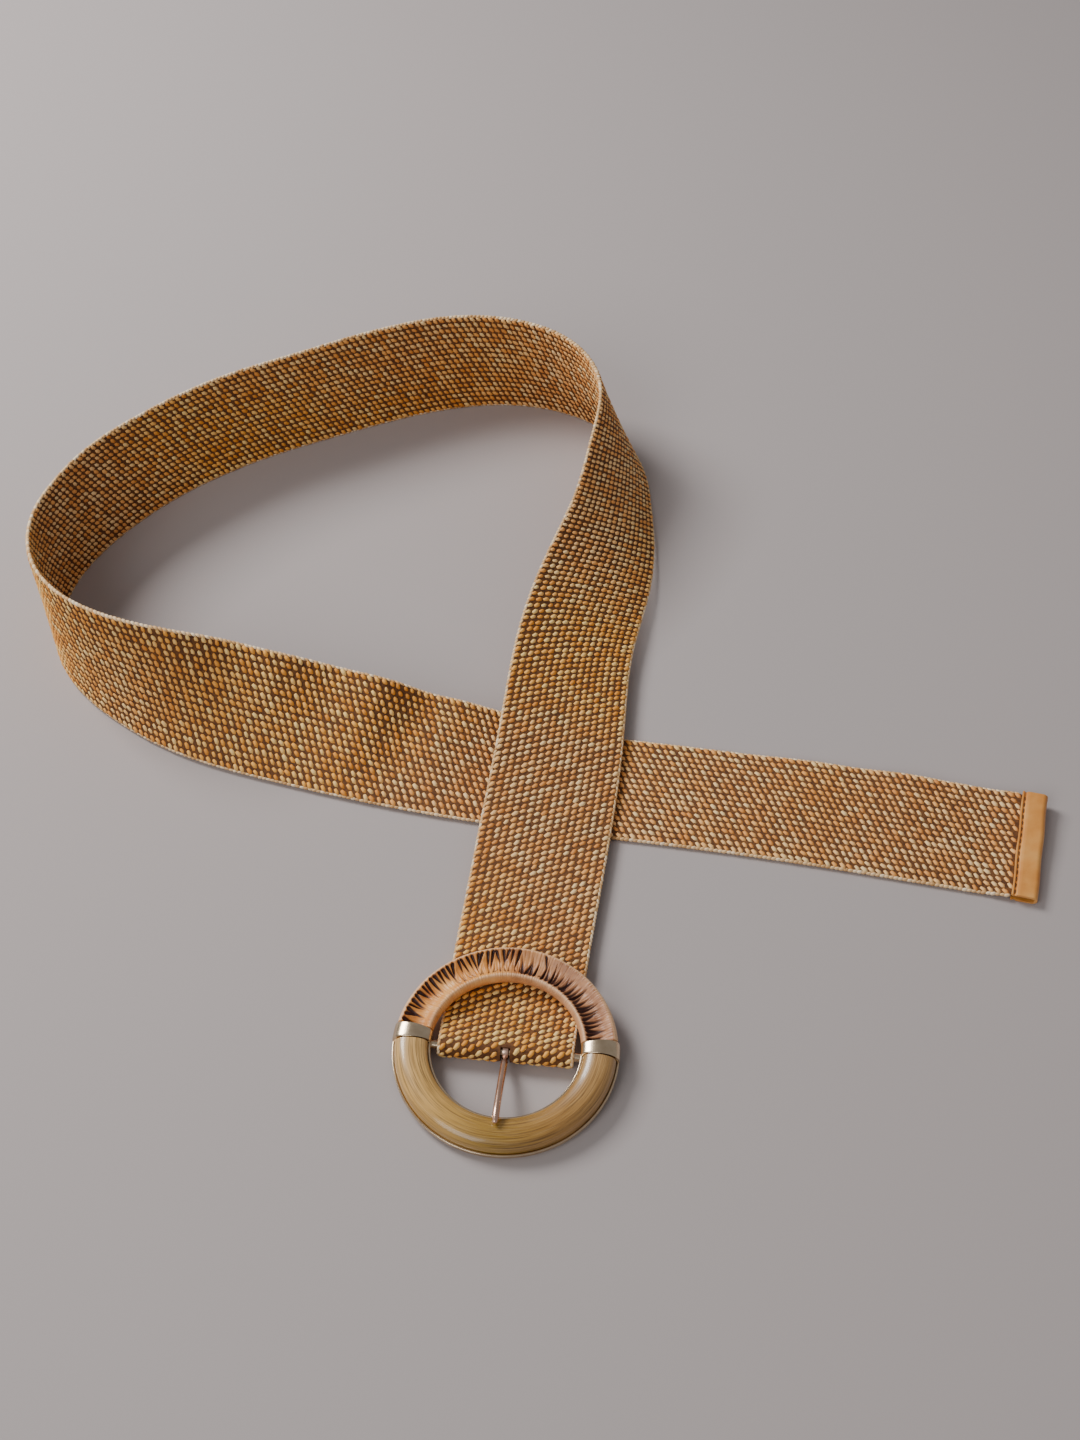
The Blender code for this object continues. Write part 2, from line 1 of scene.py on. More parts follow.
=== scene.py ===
"""Looks of a woven straw waist belt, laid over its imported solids. Metres, +Z up."""

import json
import math

import bpy
import numpy as np
from mathutils import Matrix, Vector


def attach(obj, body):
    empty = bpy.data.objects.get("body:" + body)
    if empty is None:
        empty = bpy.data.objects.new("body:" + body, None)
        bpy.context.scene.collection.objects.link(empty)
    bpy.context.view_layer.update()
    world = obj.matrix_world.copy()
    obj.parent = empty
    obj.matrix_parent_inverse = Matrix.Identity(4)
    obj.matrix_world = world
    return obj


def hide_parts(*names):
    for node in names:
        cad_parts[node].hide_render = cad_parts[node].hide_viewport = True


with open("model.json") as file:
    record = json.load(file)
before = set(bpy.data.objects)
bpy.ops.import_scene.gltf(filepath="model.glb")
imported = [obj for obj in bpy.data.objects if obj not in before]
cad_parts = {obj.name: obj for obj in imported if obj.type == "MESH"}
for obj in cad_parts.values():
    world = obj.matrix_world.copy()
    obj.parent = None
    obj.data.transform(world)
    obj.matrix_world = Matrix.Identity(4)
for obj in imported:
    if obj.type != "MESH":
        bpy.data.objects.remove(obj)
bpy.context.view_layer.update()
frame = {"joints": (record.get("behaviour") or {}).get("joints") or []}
MM = 0.001


# Course of the strap
# The strap is one long woven band. One end is folded round the buckle's bar and turned
# back underneath. From the bar it runs over its own tail, stands up on its edge round the
# back of the loop and lies down again to the tip. All that is woven follows this course.
STRAP_LENGTH = 964 * MM
STRAP_WIDTH = 45 * MM
STRAP_THICKNESS = 2.0 * MM
STRAP_END_THICKNESS = 1.5 * MM
RETURN_LENGTH = 38 * MM
LAYER_PLAY = 0.25 * MM
FIT_PLAY = 0.3 * MM
COURSE_STEPS = 1200
RETURN_STATIONS = 32
FOLD_STATIONS = 25
FOLD_LAP = 3                     # stations of the open strap that the fold takes the place of
FOLD_EXIT = 14.0
FOLD_EASE = 30 * MM
BAR_RADIUS = 1.4 * MM
TIP_LENGTH = 8.8 * MM
TIP_GRIP = 7.0 * MM
TIP_WALL = 0.9 * MM
TIP_PLAY = 0.25 * MM
TIP_APPROACH = 11.6 * MM

# share of the length, heading in degrees from +X
HEADING = (
    (0.000, 84), (0.030, 82), (0.100, 81), (0.160, 82), (0.200, 72), (0.250, 84),
    (0.280, 89), (0.310, 121), (0.345, 159), (0.400, 198), (0.460, 207),
    (0.520, 225), (0.570, 248), (0.600, 275), (0.635, 313), (0.680, 343),
    (0.750, 348), (0.840, 352), (0.920, 349), (1.000, 346),
)

# share of the length, lean across the width in degrees
LEAN = (
    (0.000, 0), (0.050, 0), (0.100, 6), (0.160, 21), (0.220, 40),
    (0.280, 62), (0.340, 85), (0.400, 96), (0.500, 95), (0.580, 96),
    (0.620, 90), (0.660, 76), (0.710, 45), (0.770, 23), (0.820, 6),
    (0.850, 0), (0.890, 0), (0.950, 2), (1.000, 3),
)

# share of the length, share of the turned-back layer's height, thicknesses of strap
LIFT = (
    (0.000, 1.00, 0.00), (0.100, 1.00, 0.00), (0.145, 1.00, 0.50), (0.190, 1.00, 0.42),
    (0.215, 0.80, 0.20), (0.240, 0.30, 0.00), (0.300, 0.00, 0.00), (1.000, 0.00, 0.00),
)

# share of the length, width as a share of the full width
WIDTH = ((0.00, 0.945), (0.05, 0.98), (0.10, 1.00), (0.95, 1.00), (1.00, 0.97))

# share of the length, reach as a share of the width, height in thicknesses, slant
WAVES = (
    (0.130, 0.55, 0.35, 0.0), (0.205, 0.60, -0.60, 0.1), (0.455, 0.70, -0.50, 0.0),
    (0.545, 0.60, 0.50, 0.0), (0.700, 0.45, -0.55, 0.1), (0.715, 0.45, 0.60, 0.1),
    (0.755, 0.40, 0.90, 0.2), (0.770, 0.35, -1.00, 0.2), (0.915, 0.45, 0.30, 0.0),
    (0.955, 0.35, 0.30, -0.1),
)

bar_joint = next(j for j in frame["joints"] if j["name"] == "buckle_swing")
bar_place = Vector(bar_joint["pos_m"])
FOLD_MIDDLE = BAR_RADIUS + FIT_PLAY + STRAP_THICKNESS / 2
BAR_STRAP_WIDTH = STRAP_WIDTH * WIDTH[0][1]
RETURN_LEVEL = STRAP_THICKNESS / 2 + LAYER_PLAY / 2
STRAP_LEVEL = RETURN_LEVEL + STRAP_THICKNESS + LAYER_PLAY


def read(table, share, column=1, settle=True):
    """A smooth curve through one column. With settle it never passes a row's value."""
    places = np.array([row[0] for row in table], float)
    values = np.array([row[column] for row in table], float)
    gaps = np.diff(places)
    slopes = np.diff(values) / gaps
    tangents = np.zeros(len(values))
    tangents[0], tangents[-1] = slopes[0], slopes[-1]
    inner = (slopes[:-1] * gaps[1:] + slopes[1:] * gaps[:-1]) / (gaps[1:] + gaps[:-1])
    if settle:
        limit = 3 * np.minimum(abs(slopes[:-1]), abs(slopes[1:]))
        inner = np.where(slopes[:-1] * slopes[1:] > 0, np.clip(inner, -limit, limit), 0)
    tangents[1:-1] = inner
    row = np.clip(np.searchsorted(places, share) - 1, 0, len(places) - 2)
    t = (share - places[row]) / gaps[row]
    return (values[row] * (1 + 2 * t) * (1 - t) ** 2
            + tangents[row] * gaps[row] * t * (1 - t) ** 2
            + values[row + 1] * t * t * (3 - 2 * t)
            + tangents[row + 1] * gaps[row] * t * t * (t - 1))


def entering_tip(share):
    """How far the strap has drawn in towards its tip, 0 to 1."""
    before_tip = (1 - share) * STRAP_LENGTH - TIP_GRIP
    entered = np.clip(1 - before_tip / TIP_APPROACH, 0, 1)
    return entered ** 2 * (3 - 2 * entered)


def fold_height(reach, bar_level):
    """Height of the strap's middle at a distance behind the bar, until it is level."""
    slope = math.radians(FOLD_EXIT)
    leave = FOLD_MIDDLE * math.sin(slope)
    top = bar_level + FOLD_MIDDLE * math.cos(slope)
    corner = leave + (top - STRAP_LEVEL) / math.tan(slope)
    ease = FOLD_EASE * math.tan(slope / 2)
    level_from = corner + ease
    if reach >= level_from:
        return STRAP_LEVEL
    if reach <= corner - ease * math.cos(slope):
        return top - (reach - leave) * math.tan(slope)
    across = (level_from - reach) / FOLD_EASE
    return STRAP_LEVEL + FOLD_EASE * (1 - math.sqrt(1 - across ** 2))


def lay_course(bar_level):
    """Fine stations of the strap, from its turned-back end to its end in the tip."""
    share = np.linspace(0, 1, COURSE_STEPS + 1)
    heading = np.radians(read(HEADING, share, settle=False))
    lean = np.radians(read(LEAN, share))
    layer = STRAP_LEVEL - STRAP_THICKNESS / 2
    thickness = STRAP_THICKNESS + (STRAP_END_THICKNESS - STRAP_THICKNESS) * entering_tip(share)
    lift = layer * read(LIFT, share, 1) + STRAP_THICKNESS * read(LIFT, share, 2)
    lift += (TIP_WALL + TIP_PLAY) * entering_tip(share)
    height = STRAP_WIDTH / 2 * np.sin(lean) + thickness / 2 * np.abs(np.cos(lean)) + lift
    for i, reach in enumerate(share * STRAP_LENGTH):
        near = fold_height(reach, bar_level)
        if near <= STRAP_LEVEL:
            break
        height[i] += near - STRAP_LEVEL
    step = STRAP_LENGTH / COURSE_STEPS
    along = np.sqrt(np.maximum(step ** 2 - np.diff(height) ** 2, 0))
    middle = (heading[1:] + heading[:-1]) / 2
    x = np.concatenate([[0], np.cumsum(along * np.cos(middle))])
    y = np.concatenate([[0], np.cumsum(along * np.sin(middle))])
    open_line = np.stack([x, y, height], 1)
    open_side = np.stack([-np.sin(heading) * np.cos(lean), np.cos(heading) * np.cos(lean),
                          np.sin(lean)], 1)

    ahead = np.array([math.cos(heading[0]), math.sin(heading[0]), 0])
    side = np.array([-ahead[1], ahead[0], 0])
    up = np.array([0, 0, 1.0])
    bottom = bar_level - FOLD_MIDDLE
    hidden = []
    for t in np.linspace(1, 0, RETURN_STATIONS)[:-1]:
        ease = (1 - t) ** 2 * (1 + 2 * t)
        hidden.append(ahead * t * RETURN_LENGTH + up * (RETURN_LEVEL + (bottom - RETURN_LEVEL) * ease))
    for turn in np.radians(np.linspace(-90, -270 - FOLD_EXIT, FOLD_STATIONS)):
        arm = ahead * math.cos(turn) + up * math.sin(turn)
        hidden.append(up * bar_level + arm * FOLD_MIDDLE)
    line = np.concatenate([hidden, open_line[FOLD_LAP:]])
    sides = np.concatenate([np.tile(side, (len(hidden), 1)), open_side[FOLD_LAP:]])
    shares = np.concatenate([np.zeros(len(hidden)), share[FOLD_LAP:]])
    width = STRAP_WIDTH * read(WIDTH, shares)
    forward = np.gradient(line, axis=0)
    forward /= np.linalg.norm(forward, axis=1)[:, None]
    out = np.cross(forward, sides)
    out /= np.linalg.norm(out, axis=1)[:, None]
    sides = np.cross(out, forward)
    steps = np.linalg.norm(np.diff(line, axis=0), axis=1)
    distance = np.concatenate([[0], np.cumsum(steps)])
    line = line + np.array([bar_place.x, bar_place.y, bar_place.z - bar_level])
    return {"distance": distance, "line": line, "side": sides, "out": out, "share": shares,
            "forward": forward, "width": width}


FLOOR_PLAY = 0.0177 * MM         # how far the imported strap's underside is over the floor
BAR_LEVEL = bar_place.z - FLOOR_PLAY
course = lay_course(BAR_LEVEL)
course_length = course["distance"][-1]
fold_start = RETURN_LENGTH
fold_end = RETURN_LENGTH + math.radians(180 + FOLD_EXIT) * FOLD_MIDDLE


def wave_at(share, across):
    """How far the pressed-in waves lift the strap, at -1 to 1 across its width."""
    total = np.zeros(np.broadcast(share, across).shape)
    for place, reach, height, slant in WAVES:
        span = reach * STRAP_WIDTH / STRAP_LENGTH
        t = np.clip((share - place - slant * across * span) / span, -1, 1)
        total += height * STRAP_THICKNESS * (1 - t * t) ** 2
    return total * (across + 1) / 2


def on_strap(distance, across, height):
    """Points at distances along the strap, -1 to 1 across it and a height over its middle."""
    def at(key):
        column = course[key]
        if column.ndim == 1:
            return np.interp(distance, course["distance"], column)
        return np.stack([np.interp(distance, course["distance"], column[:, k]) for k in range(3)], -1)

    lift = height + wave_at(at("share"), across)
    place = (at("line") + at("side") * (across * at("width") / 2)[..., None]
             + at("out") * lift[..., None])
    return place, at("out"), at("forward"), at("side")


# Ground of the weave, and painted shade
# Between the straw cords shows the dark ground that they are bound into; its dark brown also
# paints the shade between the cords. It is made as a thin band under the stitches, slit at the
# fold where the prong comes through.
GROUND_HALF = 0.62 * MM
GROUND_EDGE = 0.955
SLIT_HALF = 1.5 * MM
GROUND_FINE = 60                 # stations at the fold that are all kept, past them every other one
SLIT_TURN = 174 / (180 + FOLD_EXIT)      # share of the fold that the slit takes


class Finish:
    """A material and the nodes that paint it."""

    def __init__(self, name, **sockets):
        self.material = bpy.data.materials.new(name)
        self.material.use_nodes = True
        self.tree = self.material.node_tree
        self.shader = self.tree.nodes["Principled BSDF"]
        for key, value in sockets.items():
            self.shader.inputs[key.replace("_", " ")].default_value = value

    def node(self, kind, settings=None, **inputs):
        made = self.tree.nodes.new("ShaderNode" + kind)
        for key, value in (settings or {}).items():
            setattr(made, key, value)
        for key, value in inputs.items():
            self.set(made.inputs[key.replace("_", " ")], value)
        return made

    def set(self, socket, value):
        if isinstance(value, bpy.types.NodeSocket):
            self.tree.links.new(value, socket)
        else:
            socket.default_value = value

    def place(self):
        return self.node("TexCoord").outputs["Object"]

    def attribute(self, name):
        return self.node("Attribute", {"attribute_name": name}).outputs["Fac"]

    def noise(self, where, scale, detail=3.0, roughness=0.5):
        made = self.node("TexNoise", Vector=where, Scale=scale, Detail=detail, Roughness=roughness)
        return made.outputs["Fac"]

    def stretched(self, where, scale):
        return self.node("Mapping", Vector=where, Scale=scale).outputs["Vector"]

    def ramp(self, value, *stops):
        made = self.node("ValToRGB", Fac=value)
        band = made.color_ramp.elements
        while len(band) < len(stops):
            band.new(0.5)
        for element, (position, colour) in zip(band, stops):
            element.position = position
            element.color = (*colour, 1)
        return made.outputs["Color"]

    def math(self, kind, a, b):
        made = self.tree.nodes.new("ShaderNodeMath")
        made.operation = kind
        self.set(made.inputs[0], a)
        self.set(made.inputs[1], b)
        return made.outputs[0]

    def mix(self, share, a, b, kind="MIX"):
        made = self.tree.nodes.new("ShaderNodeMix")
        made.data_type = "RGBA"
        made.blend_type = kind
        self.set(made.inputs["Factor"], share)
        for socket, value in ((made.inputs[6], a), (made.inputs[7], b)):
            self.set(socket, (*value, 1) if isinstance(value, tuple) else value)
        return made.outputs[2]

    def colour(self, value):
        self.set(self.shader.inputs["Base Color"], value)

    def roughness(self, value, low, high):
        made = self.node("MapRange", Value=value, To_Min=low, To_Max=high)
        self.set(self.shader.inputs["Roughness"], made.outputs["Result"])

    def bump(self, height, distance, strength=1.0):
        made = self.node("Bump", Height=height, Distance=distance, Strength=strength)
        self.set(self.shader.inputs["Normal"], made.outputs["Normal"])


def piece(name, points, faces, finish, layers=None):
    """A mesh object at the origin, with its point layers and finish."""
    mesh = bpy.data.meshes.new(name)
    mesh.from_pydata([tuple(p) for p in points], [], faces)
    for key, values in (layers or {}).items():
        layer = mesh.attributes.new(key, 'FLOAT', 'POINT')
        layer.data.foreach_set("value", np.asarray(values, np.float32).ravel())
    if finish:
        mesh.materials.append(finish.material)
    item = bpy.data.objects.new(name, mesh)
    bpy.context.scene.collection.objects.link(item)
    return item


def settled(item, name):
    """The item as its modifiers leave it, made a plain mesh at the origin."""
    graph = bpy.context.evaluated_depsgraph_get()
    mesh = bpy.data.meshes.new_from_object(item.evaluated_get(graph), preserve_all_data_layers=True,
                                           depsgraph=graph)
    mesh.name = name
    bpy.data.objects.remove(item, do_unlink=True)
    made = bpy.data.objects.new(name, mesh)
    bpy.context.scene.collection.objects.link(made)
    return made


def lay_ground():
    """The band's points and faces, with the slit left out."""
    slit = SLIT_HALF / (BAR_STRAP_WIDTH / 2)
    places = np.array([-GROUND_EDGE, -0.7, -0.4, -0.2, -slit, slit, 0.2, 0.4, 0.7, GROUND_EDGE])
    distance = np.concatenate([course["distance"][:GROUND_FINE], course["distance"][GROUND_FINE + 1::2]])
    rows, columns = len(distance), len(places)
    points = np.stack([on_strap(distance, np.full(rows, p), np.zeros(rows))[0] for p in places], 1)
    slit_from, slit_to = fold_start, fold_start + (fold_end - fold_start) * SLIT_TURN
    faces = []
    for i in range(rows - 1):
        in_slit = slit_from <= distance[i] and distance[i + 1] <= slit_to
        for j in range(columns - 1):
            if in_slit and j == columns // 2 - 1:
                continue
            a = i * columns + j
            faces.append((a, a + columns, a + columns + 1, a + 1))
    return points.reshape(-1, 3), faces


# Dark brown of the ground, which also stands in for the painted shade between the straw cords.
painted_shade_ground = Finish("straw_ground_painted_shade", Roughness=0.85)
speckle = painted_shade_ground.noise(painted_shade_ground.place(), 900.0)
painted_shade_ground.colour(painted_shade_ground.ramp(speckle, (0.3, (0.07, 0.021, 0.004)), (0.7, (0.19, 0.07, 0.015))))

ground = piece("weave_ground_painted_shade", *lay_ground(), painted_shade_ground)
wall = ground.modifiers.new("wall", 'SOLIDIFY')
wall.thickness = 2 * GROUND_HALF
wall.offset = 0
ground = settled(ground, "weave_ground_painted_shade")
ground.data.shade_smooth()
ground.data.set_sharp_from_angle(angle=math.radians(40))
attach(ground, "strap")
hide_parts("woven_strap")


# Stitches of the weave
# Eighteen two-ply straw cords run along the strap side by side. Each turn of a cord shows
# as a pale slanted grain, and all cords are twisted the same way. Both faces are alike.
COLUMNS = 18
COLUMN_SPREAD = 0.925            # outermost cords' middles, as a share of the half width
STITCH_PITCH = 2.5 * MM
STITCH_LENGTH = 3.25 * MM
STITCH_WIDTH = 1.75 * MM
STITCH_HEIGHT = 1.05 * MM
STITCH_SEAT = 0.46 * MM          # middle of a stitch over the strap's middle
STITCH_SLANT = -42.0             # degrees from the strap's run, seen on either face
PRONG_SLIT = ((2.4 * MM, -0.4 * MM), (6.6 * MM, -7.6 * MM))   # along and across, past the fold
PRONG_SLIT_GAP = 0.5 * MM
PRONG_SLIT_REACH = 2 * MM
SLIT_BARE = 0.5 * MM             # free of stitches beside the slit in the fold
STITCH_SHIFT = 0.12 * MM         # how unevenly they sit along the strap
STITCH_DRIFT = 0.0025            # and across it, as a share of the half width
STITCH_TURN = 0.2
STITCH_SPREAD = 0.1


def stitch_tree():
    """Grains set on points: each is turned to its facing and run, then varied a little."""
    tree = bpy.data.node_groups.new("stitches", 'GeometryNodeTree')
    face = tree.interface
    face.new_socket("Geometry", in_out='INPUT', socket_type='NodeSocketGeometry')
    for name in ("Length", "Width", "Height", "Turn", "Spread"):
        face.new_socket(name, in_out='INPUT', socket_type='NodeSocketFloat')
    face.new_socket("Seed", in_out='INPUT', socket_type='NodeSocketInt')
    face.new_socket("Straw", in_out='INPUT', socket_type='NodeSocketMaterial')
    face.new_socket("Geometry", in_out='OUTPUT', socket_type='NodeSocketGeometry')
    nodes, links = tree.nodes, tree.links

    def add(kind, settings=None, **inputs):
        made = nodes.new(kind)
        for key, value in (settings or {}).items():
            setattr(made, key, value)
        for key, value in inputs.items():
            name = key.replace("_", " ")
            socket = next(s for s in made.inputs if s.name == name and s.enabled)
            if isinstance(value, bpy.types.NodeSocket):
                links.new(value, socket)
            else:
                socket.default_value = value
        return made

    def result(node):
        return next(s for s in node.outputs if s.enabled)

    given = add("NodeGroupInput").outputs

    def chance(low, high, step):
        seed = add("ShaderNodeMath", {"operation": 'ADD'})
        links.new(given["Seed"], seed.inputs[0])
        seed.inputs[1].default_value = step
        return result(add("FunctionNodeRandomValue", {"data_type": 'FLOAT'},
                          Min=low, Max=high, Seed=seed.outputs[0]))

    size = add("ShaderNodeCombineXYZ", X=given["Length"], Y=given["Width"], Z=given["Height"])
    ball = add("GeometryNodeMeshIcoSphere", Radius=0.5, Subdivisions=1)
    grain = add("GeometryNodeTransform", Geometry=ball.outputs["Mesh"], Scale=size.outputs[0])
    facing = add("GeometryNodeInputNamedAttribute", {"data_type": 'FLOAT_VECTOR'}, Name="facing")
    run = add("GeometryNodeInputNamedAttribute", {"data_type": 'FLOAT_VECTOR'}, Name="run")
    stand = add("FunctionNodeAlignRotationToVector", {"axis": 'Z'}, Vector=result(facing))
    point_on = add("FunctionNodeAlignRotationToVector", {"axis": 'X', "pivot_axis": 'Z'},
                   Rotation=stand.outputs[0], Vector=result(run))
    less = add("ShaderNodeMath", {"operation": 'MULTIPLY'})
    links.new(given["Turn"], less.inputs[0])
    less.inputs[1].default_value = -1
    twist = add("ShaderNodeCombineXYZ", Z=chance(less.outputs[0], given["Turn"], 1))
    turned = add("FunctionNodeRotateRotation", {"rotation_space": 'LOCAL'},
                 Rotation=point_on.outputs[0],
                 Rotate_By=add("FunctionNodeEulerToRotation", Euler=twist.outputs[0]).outputs[0])
    small = add("ShaderNodeMath", {"operation": 'SUBTRACT'})
    small.inputs[0].default_value = 1
    links.new(given["Spread"], small.inputs[1])
    large = add("ShaderNodeMath", {"operation": 'ADD'})
    large.inputs[0].default_value = 1
    links.new(given["Spread"], large.inputs[1])
    seated = add("GeometryNodeInstanceOnPoints", Points=given["Geometry"],
                 Instance=grain.outputs[0], Rotation=turned.outputs[0],
                 Scale=chance(small.outputs[0], large.outputs[0], 2))
    toned = add("GeometryNodeStoreNamedAttribute", {"data_type": 'FLOAT', "domain": 'INSTANCE'},
                Geometry=seated.outputs[0], Name="tone", Value=chance(0.0, 1.0, 3))
    real = add("GeometryNodeRealizeInstances", Geometry=toned.outputs[0])
    smooth = add("GeometryNodeSetShadeSmooth", Geometry=real.outputs[0])
    dressed = add("GeometryNodeSetMaterial", Geometry=smooth.outputs[0], Material=given["Straw"])
    links.new(dressed.outputs[0], add("NodeGroupOutput").inputs[0])
    return tree


def set_stitches(name, places, facings, runs, finish, sizes, turn, spread, seed):
    """A piece of stitches, one for each place."""
    points = bpy.data.meshes.new(name + "_places")
    points.from_pydata([tuple(p) for p in places], [], [])
    for key, values in (("facing", facings), ("run", runs)):
        layer = points.attributes.new(key, 'FLOAT_VECTOR', 'POINT')
        layer.data.foreach_set("vector", np.asarray(values, np.float32).ravel())
    item = bpy.data.objects.new(name + "_places", points)
    bpy.context.scene.collection.objects.link(item)
    modifier = item.modifiers.new("stitches", 'NODES')
    modifier.node_group = STITCHES
    inputs = {s.name: s.identifier for s in STITCHES.interface.items_tree if s.in_out == 'INPUT'}
    length, width, height = sizes
    for key, value in (("Length", length), ("Width", width), ("Height", height), ("Turn", turn),
                       ("Spread", spread), ("Seed", seed), ("Straw", finish.material)):
        modifier[inputs[key]] = value
    return settled(item, name)


def slanted(run, facing, degrees):
    """The run turned about the facing."""
    a = math.radians(degrees)
    return run * math.cos(a) + np.cross(facing, run) * math.sin(a)


def stitch_places(side, seed):
    """Places, facings and runs of the stitches on the outer (1) or the inner (-1) face."""
    chance = np.random.default_rng(seed)
    end = course_length - TIP_GRIP
    distances, acrosses = [], []
    for column in range(COLUMNS):
        count = int(end / STITCH_PITCH) + 1
        along = (np.arange(count) + 0.5 + 0.5 * (column % 2)) * STITCH_PITCH
        along = along + chance.normal(0, STITCH_SHIFT, count)
        place = COLUMN_SPREAD * (2 * column / (COLUMNS - 1) - 1)
        distances.append(along)
        acrosses.append(place + chance.normal(0, STITCH_DRIFT, count))
    distance = np.concatenate(distances)
    across = np.concatenate(acrosses)
    keep = distance < end
    half = np.interp(distance, course["distance"], course["width"]) / 2
    slit_to = fold_start + (fold_end - fold_start) * SLIT_TURN
    in_slit = (distance > fold_start - MM) & (distance < slit_to + MM)
    keep &= ~(in_slit & (np.abs(across * half) < SLIT_HALF + SLIT_BARE))
    distance, across, half = distance[keep], across[keep], half[keep]
    if side > 0:
        distance, across = part_at_slit(distance, across, half)
    height = np.full(len(distance), side * STITCH_SEAT)
    place, out, forward, _ = on_strap(distance, across, height)
    facing = out * side
    return place, facing, slanted(forward, facing, STITCH_SLANT)


def part_at_slit(distance, across, half):
    """Moves the stitches beside the prong's slit apart, so that a dark line opens."""
    start = np.array([fold_end + PRONG_SLIT[0][0], PRONG_SLIT[0][1]])
    end = np.array([fold_end + PRONG_SLIT[1][0], PRONG_SLIT[1][1]])
    line = end - start
    spot = np.stack([distance, across * half], 1) - start
    t = np.clip(spot @ line / (line @ line), 0, 1)
    away = spot - t[:, None] * line
    gap = np.linalg.norm(away, axis=1)
    push = PRONG_SLIT_GAP * np.clip(1 - gap / PRONG_SLIT_REACH, 0, 1)
    away = away / np.maximum(gap, 1e-6)[:, None] * push[:, None]
    return distance + away[:, 0], across + away[:, 1] / half


STITCHES = stitch_tree()
straw = Finish("straw_cord", Roughness=0.6, Specular_IOR_Level=0.25)
tone = straw.attribute("tone")
drift = straw.noise(straw.place(), 26.0, 2.0)
pale = straw.math('ADD', straw.math('MULTIPLY', tone, 0.75), straw.math('MULTIPLY', drift, 0.35))
golden = straw.ramp(pale, (0.1, (0.72, 0.25, 0.03)), (0.5, (0.98, 0.45, 0.08)),
                    (0.95, (1.0, 0.68, 0.24)))
pinkish = straw.ramp(pale, (0.1, (0.72, 0.27, 0.06)), (0.5, (0.98, 0.47, 0.14)),
                     (0.95, (1.0, 0.70, 0.34)))
patches = straw.ramp(straw.noise(straw.place(), 9.0, 1.0), (0.42, (0, 0, 0)), (0.6, (1, 1, 1)))
straw.colour(straw.mix(patches, golden, pinkish))
fibres = straw.noise(straw.place(), 2600.0, 2.0)
straw.bump(fibres, 0.12 * MM, 0.5)

for face_name, face_side, seed in (("outer_stitches", 1, 11), ("inner_stitches", -1, 12)):
    places, facings, runs = stitch_places(face_side, seed)
    cords = set_stitches(face_name, places, facings, runs, straw,
                         (STITCH_LENGTH, STITCH_WIDTH, STITCH_HEIGHT), STITCH_TURN, STITCH_SPREAD, seed)
    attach(cords, "strap")
    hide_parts("woven_strap")


# Selvedges
# Each long edge is bound with a paler twisted cord, which shows as a bright scalloped line.
SELVEDGE_PITCH = 1.55 * MM
SELVEDGE_PLACE = 0.972           # share of the half width
SELVEDGE_START = 0.8 * MM
SELVEDGE_SLANT = 16
SELVEDGE_TURN = 0.1
SELVEDGE_SPREAD = 0.06
SELVEDGE_SIZES = (2.7 * MM, 1.25 * MM, 1.55 * MM)

selvedge = Finish("straw_selvedge", Roughness=0.55, Specular_IOR_Level=0.3)
edge_tone = selvedge.attribute("tone")
selvedge.colour(selvedge.ramp(edge_tone, (0.0, (0.62, 0.34, 0.13)), (0.5, (0.88, 0.58, 0.29)),
                              (1.0, (1.0, 0.80, 0.54))))
selvedge.bump(selvedge.noise(selvedge.place(), 2200.0, 2.0), 0.1 * MM, 0.5)

edge_distance = np.arange(SELVEDGE_START, course_length - TIP_GRIP, SELVEDGE_PITCH)
edge_places, edge_facings, edge_runs = [], [], []
for edge in (-1, 1):
    beside = np.full(len(edge_distance), edge * SELVEDGE_PLACE)
    place, out, forward, _ = on_strap(edge_distance, beside, np.zeros(len(edge_distance)))
    edge_places.append(place)
    edge_facings.append(out)
    edge_runs.append(slanted(forward, out, -SELVEDGE_SLANT * edge))
bindings = set_stitches("selvedges", np.concatenate(edge_places), np.concatenate(edge_facings),
                        np.concatenate(edge_runs), selvedge, SELVEDGE_SIZES, SELVEDGE_TURN,
                        SELVEDGE_SPREAD, 21)
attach(bindings, "strap")
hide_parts("woven_strap")


# Tip
# A strip of tan leather is folded over the strap's cut end, glued to both faces and sewn
# through in a groove beside its edge.
TIP_LIP = 0.55 * MM              # edge of the leather outside the groove
TIP_GROOVE = 1.15 * MM
TIP_SIDE_ROUND = 0.35 * MM
TIP_EDGE_ROUND = 0.12 * MM
TIP_SLUMP = 0.12 * MM            # how far its folded edge waves
TIP_GROOVE_FLOOR = 0.2           # wall left under the groove, as a share of it


def eased(corners, radius, steps=3):
    """An outline whose corners are rounded off."""
    corners = [Vector(c) for c in corners]
    points = []
    for i, corner in enumerate(corners):
        before, after = corners[i - 1] - corner, corners[(i + 1) % len(corners)] - corner
        start = corner + before.normalized() * min(radius, before.length * 0.45)
        end = corner + after.normalized() * min(radius, after.length * 0.45)
        for k in range(steps + 1):
            t = k / steps
            points.append(start * (1 - t) ** 2 + corner * 2 * t * (1 - t) + end * t * t)
    return points


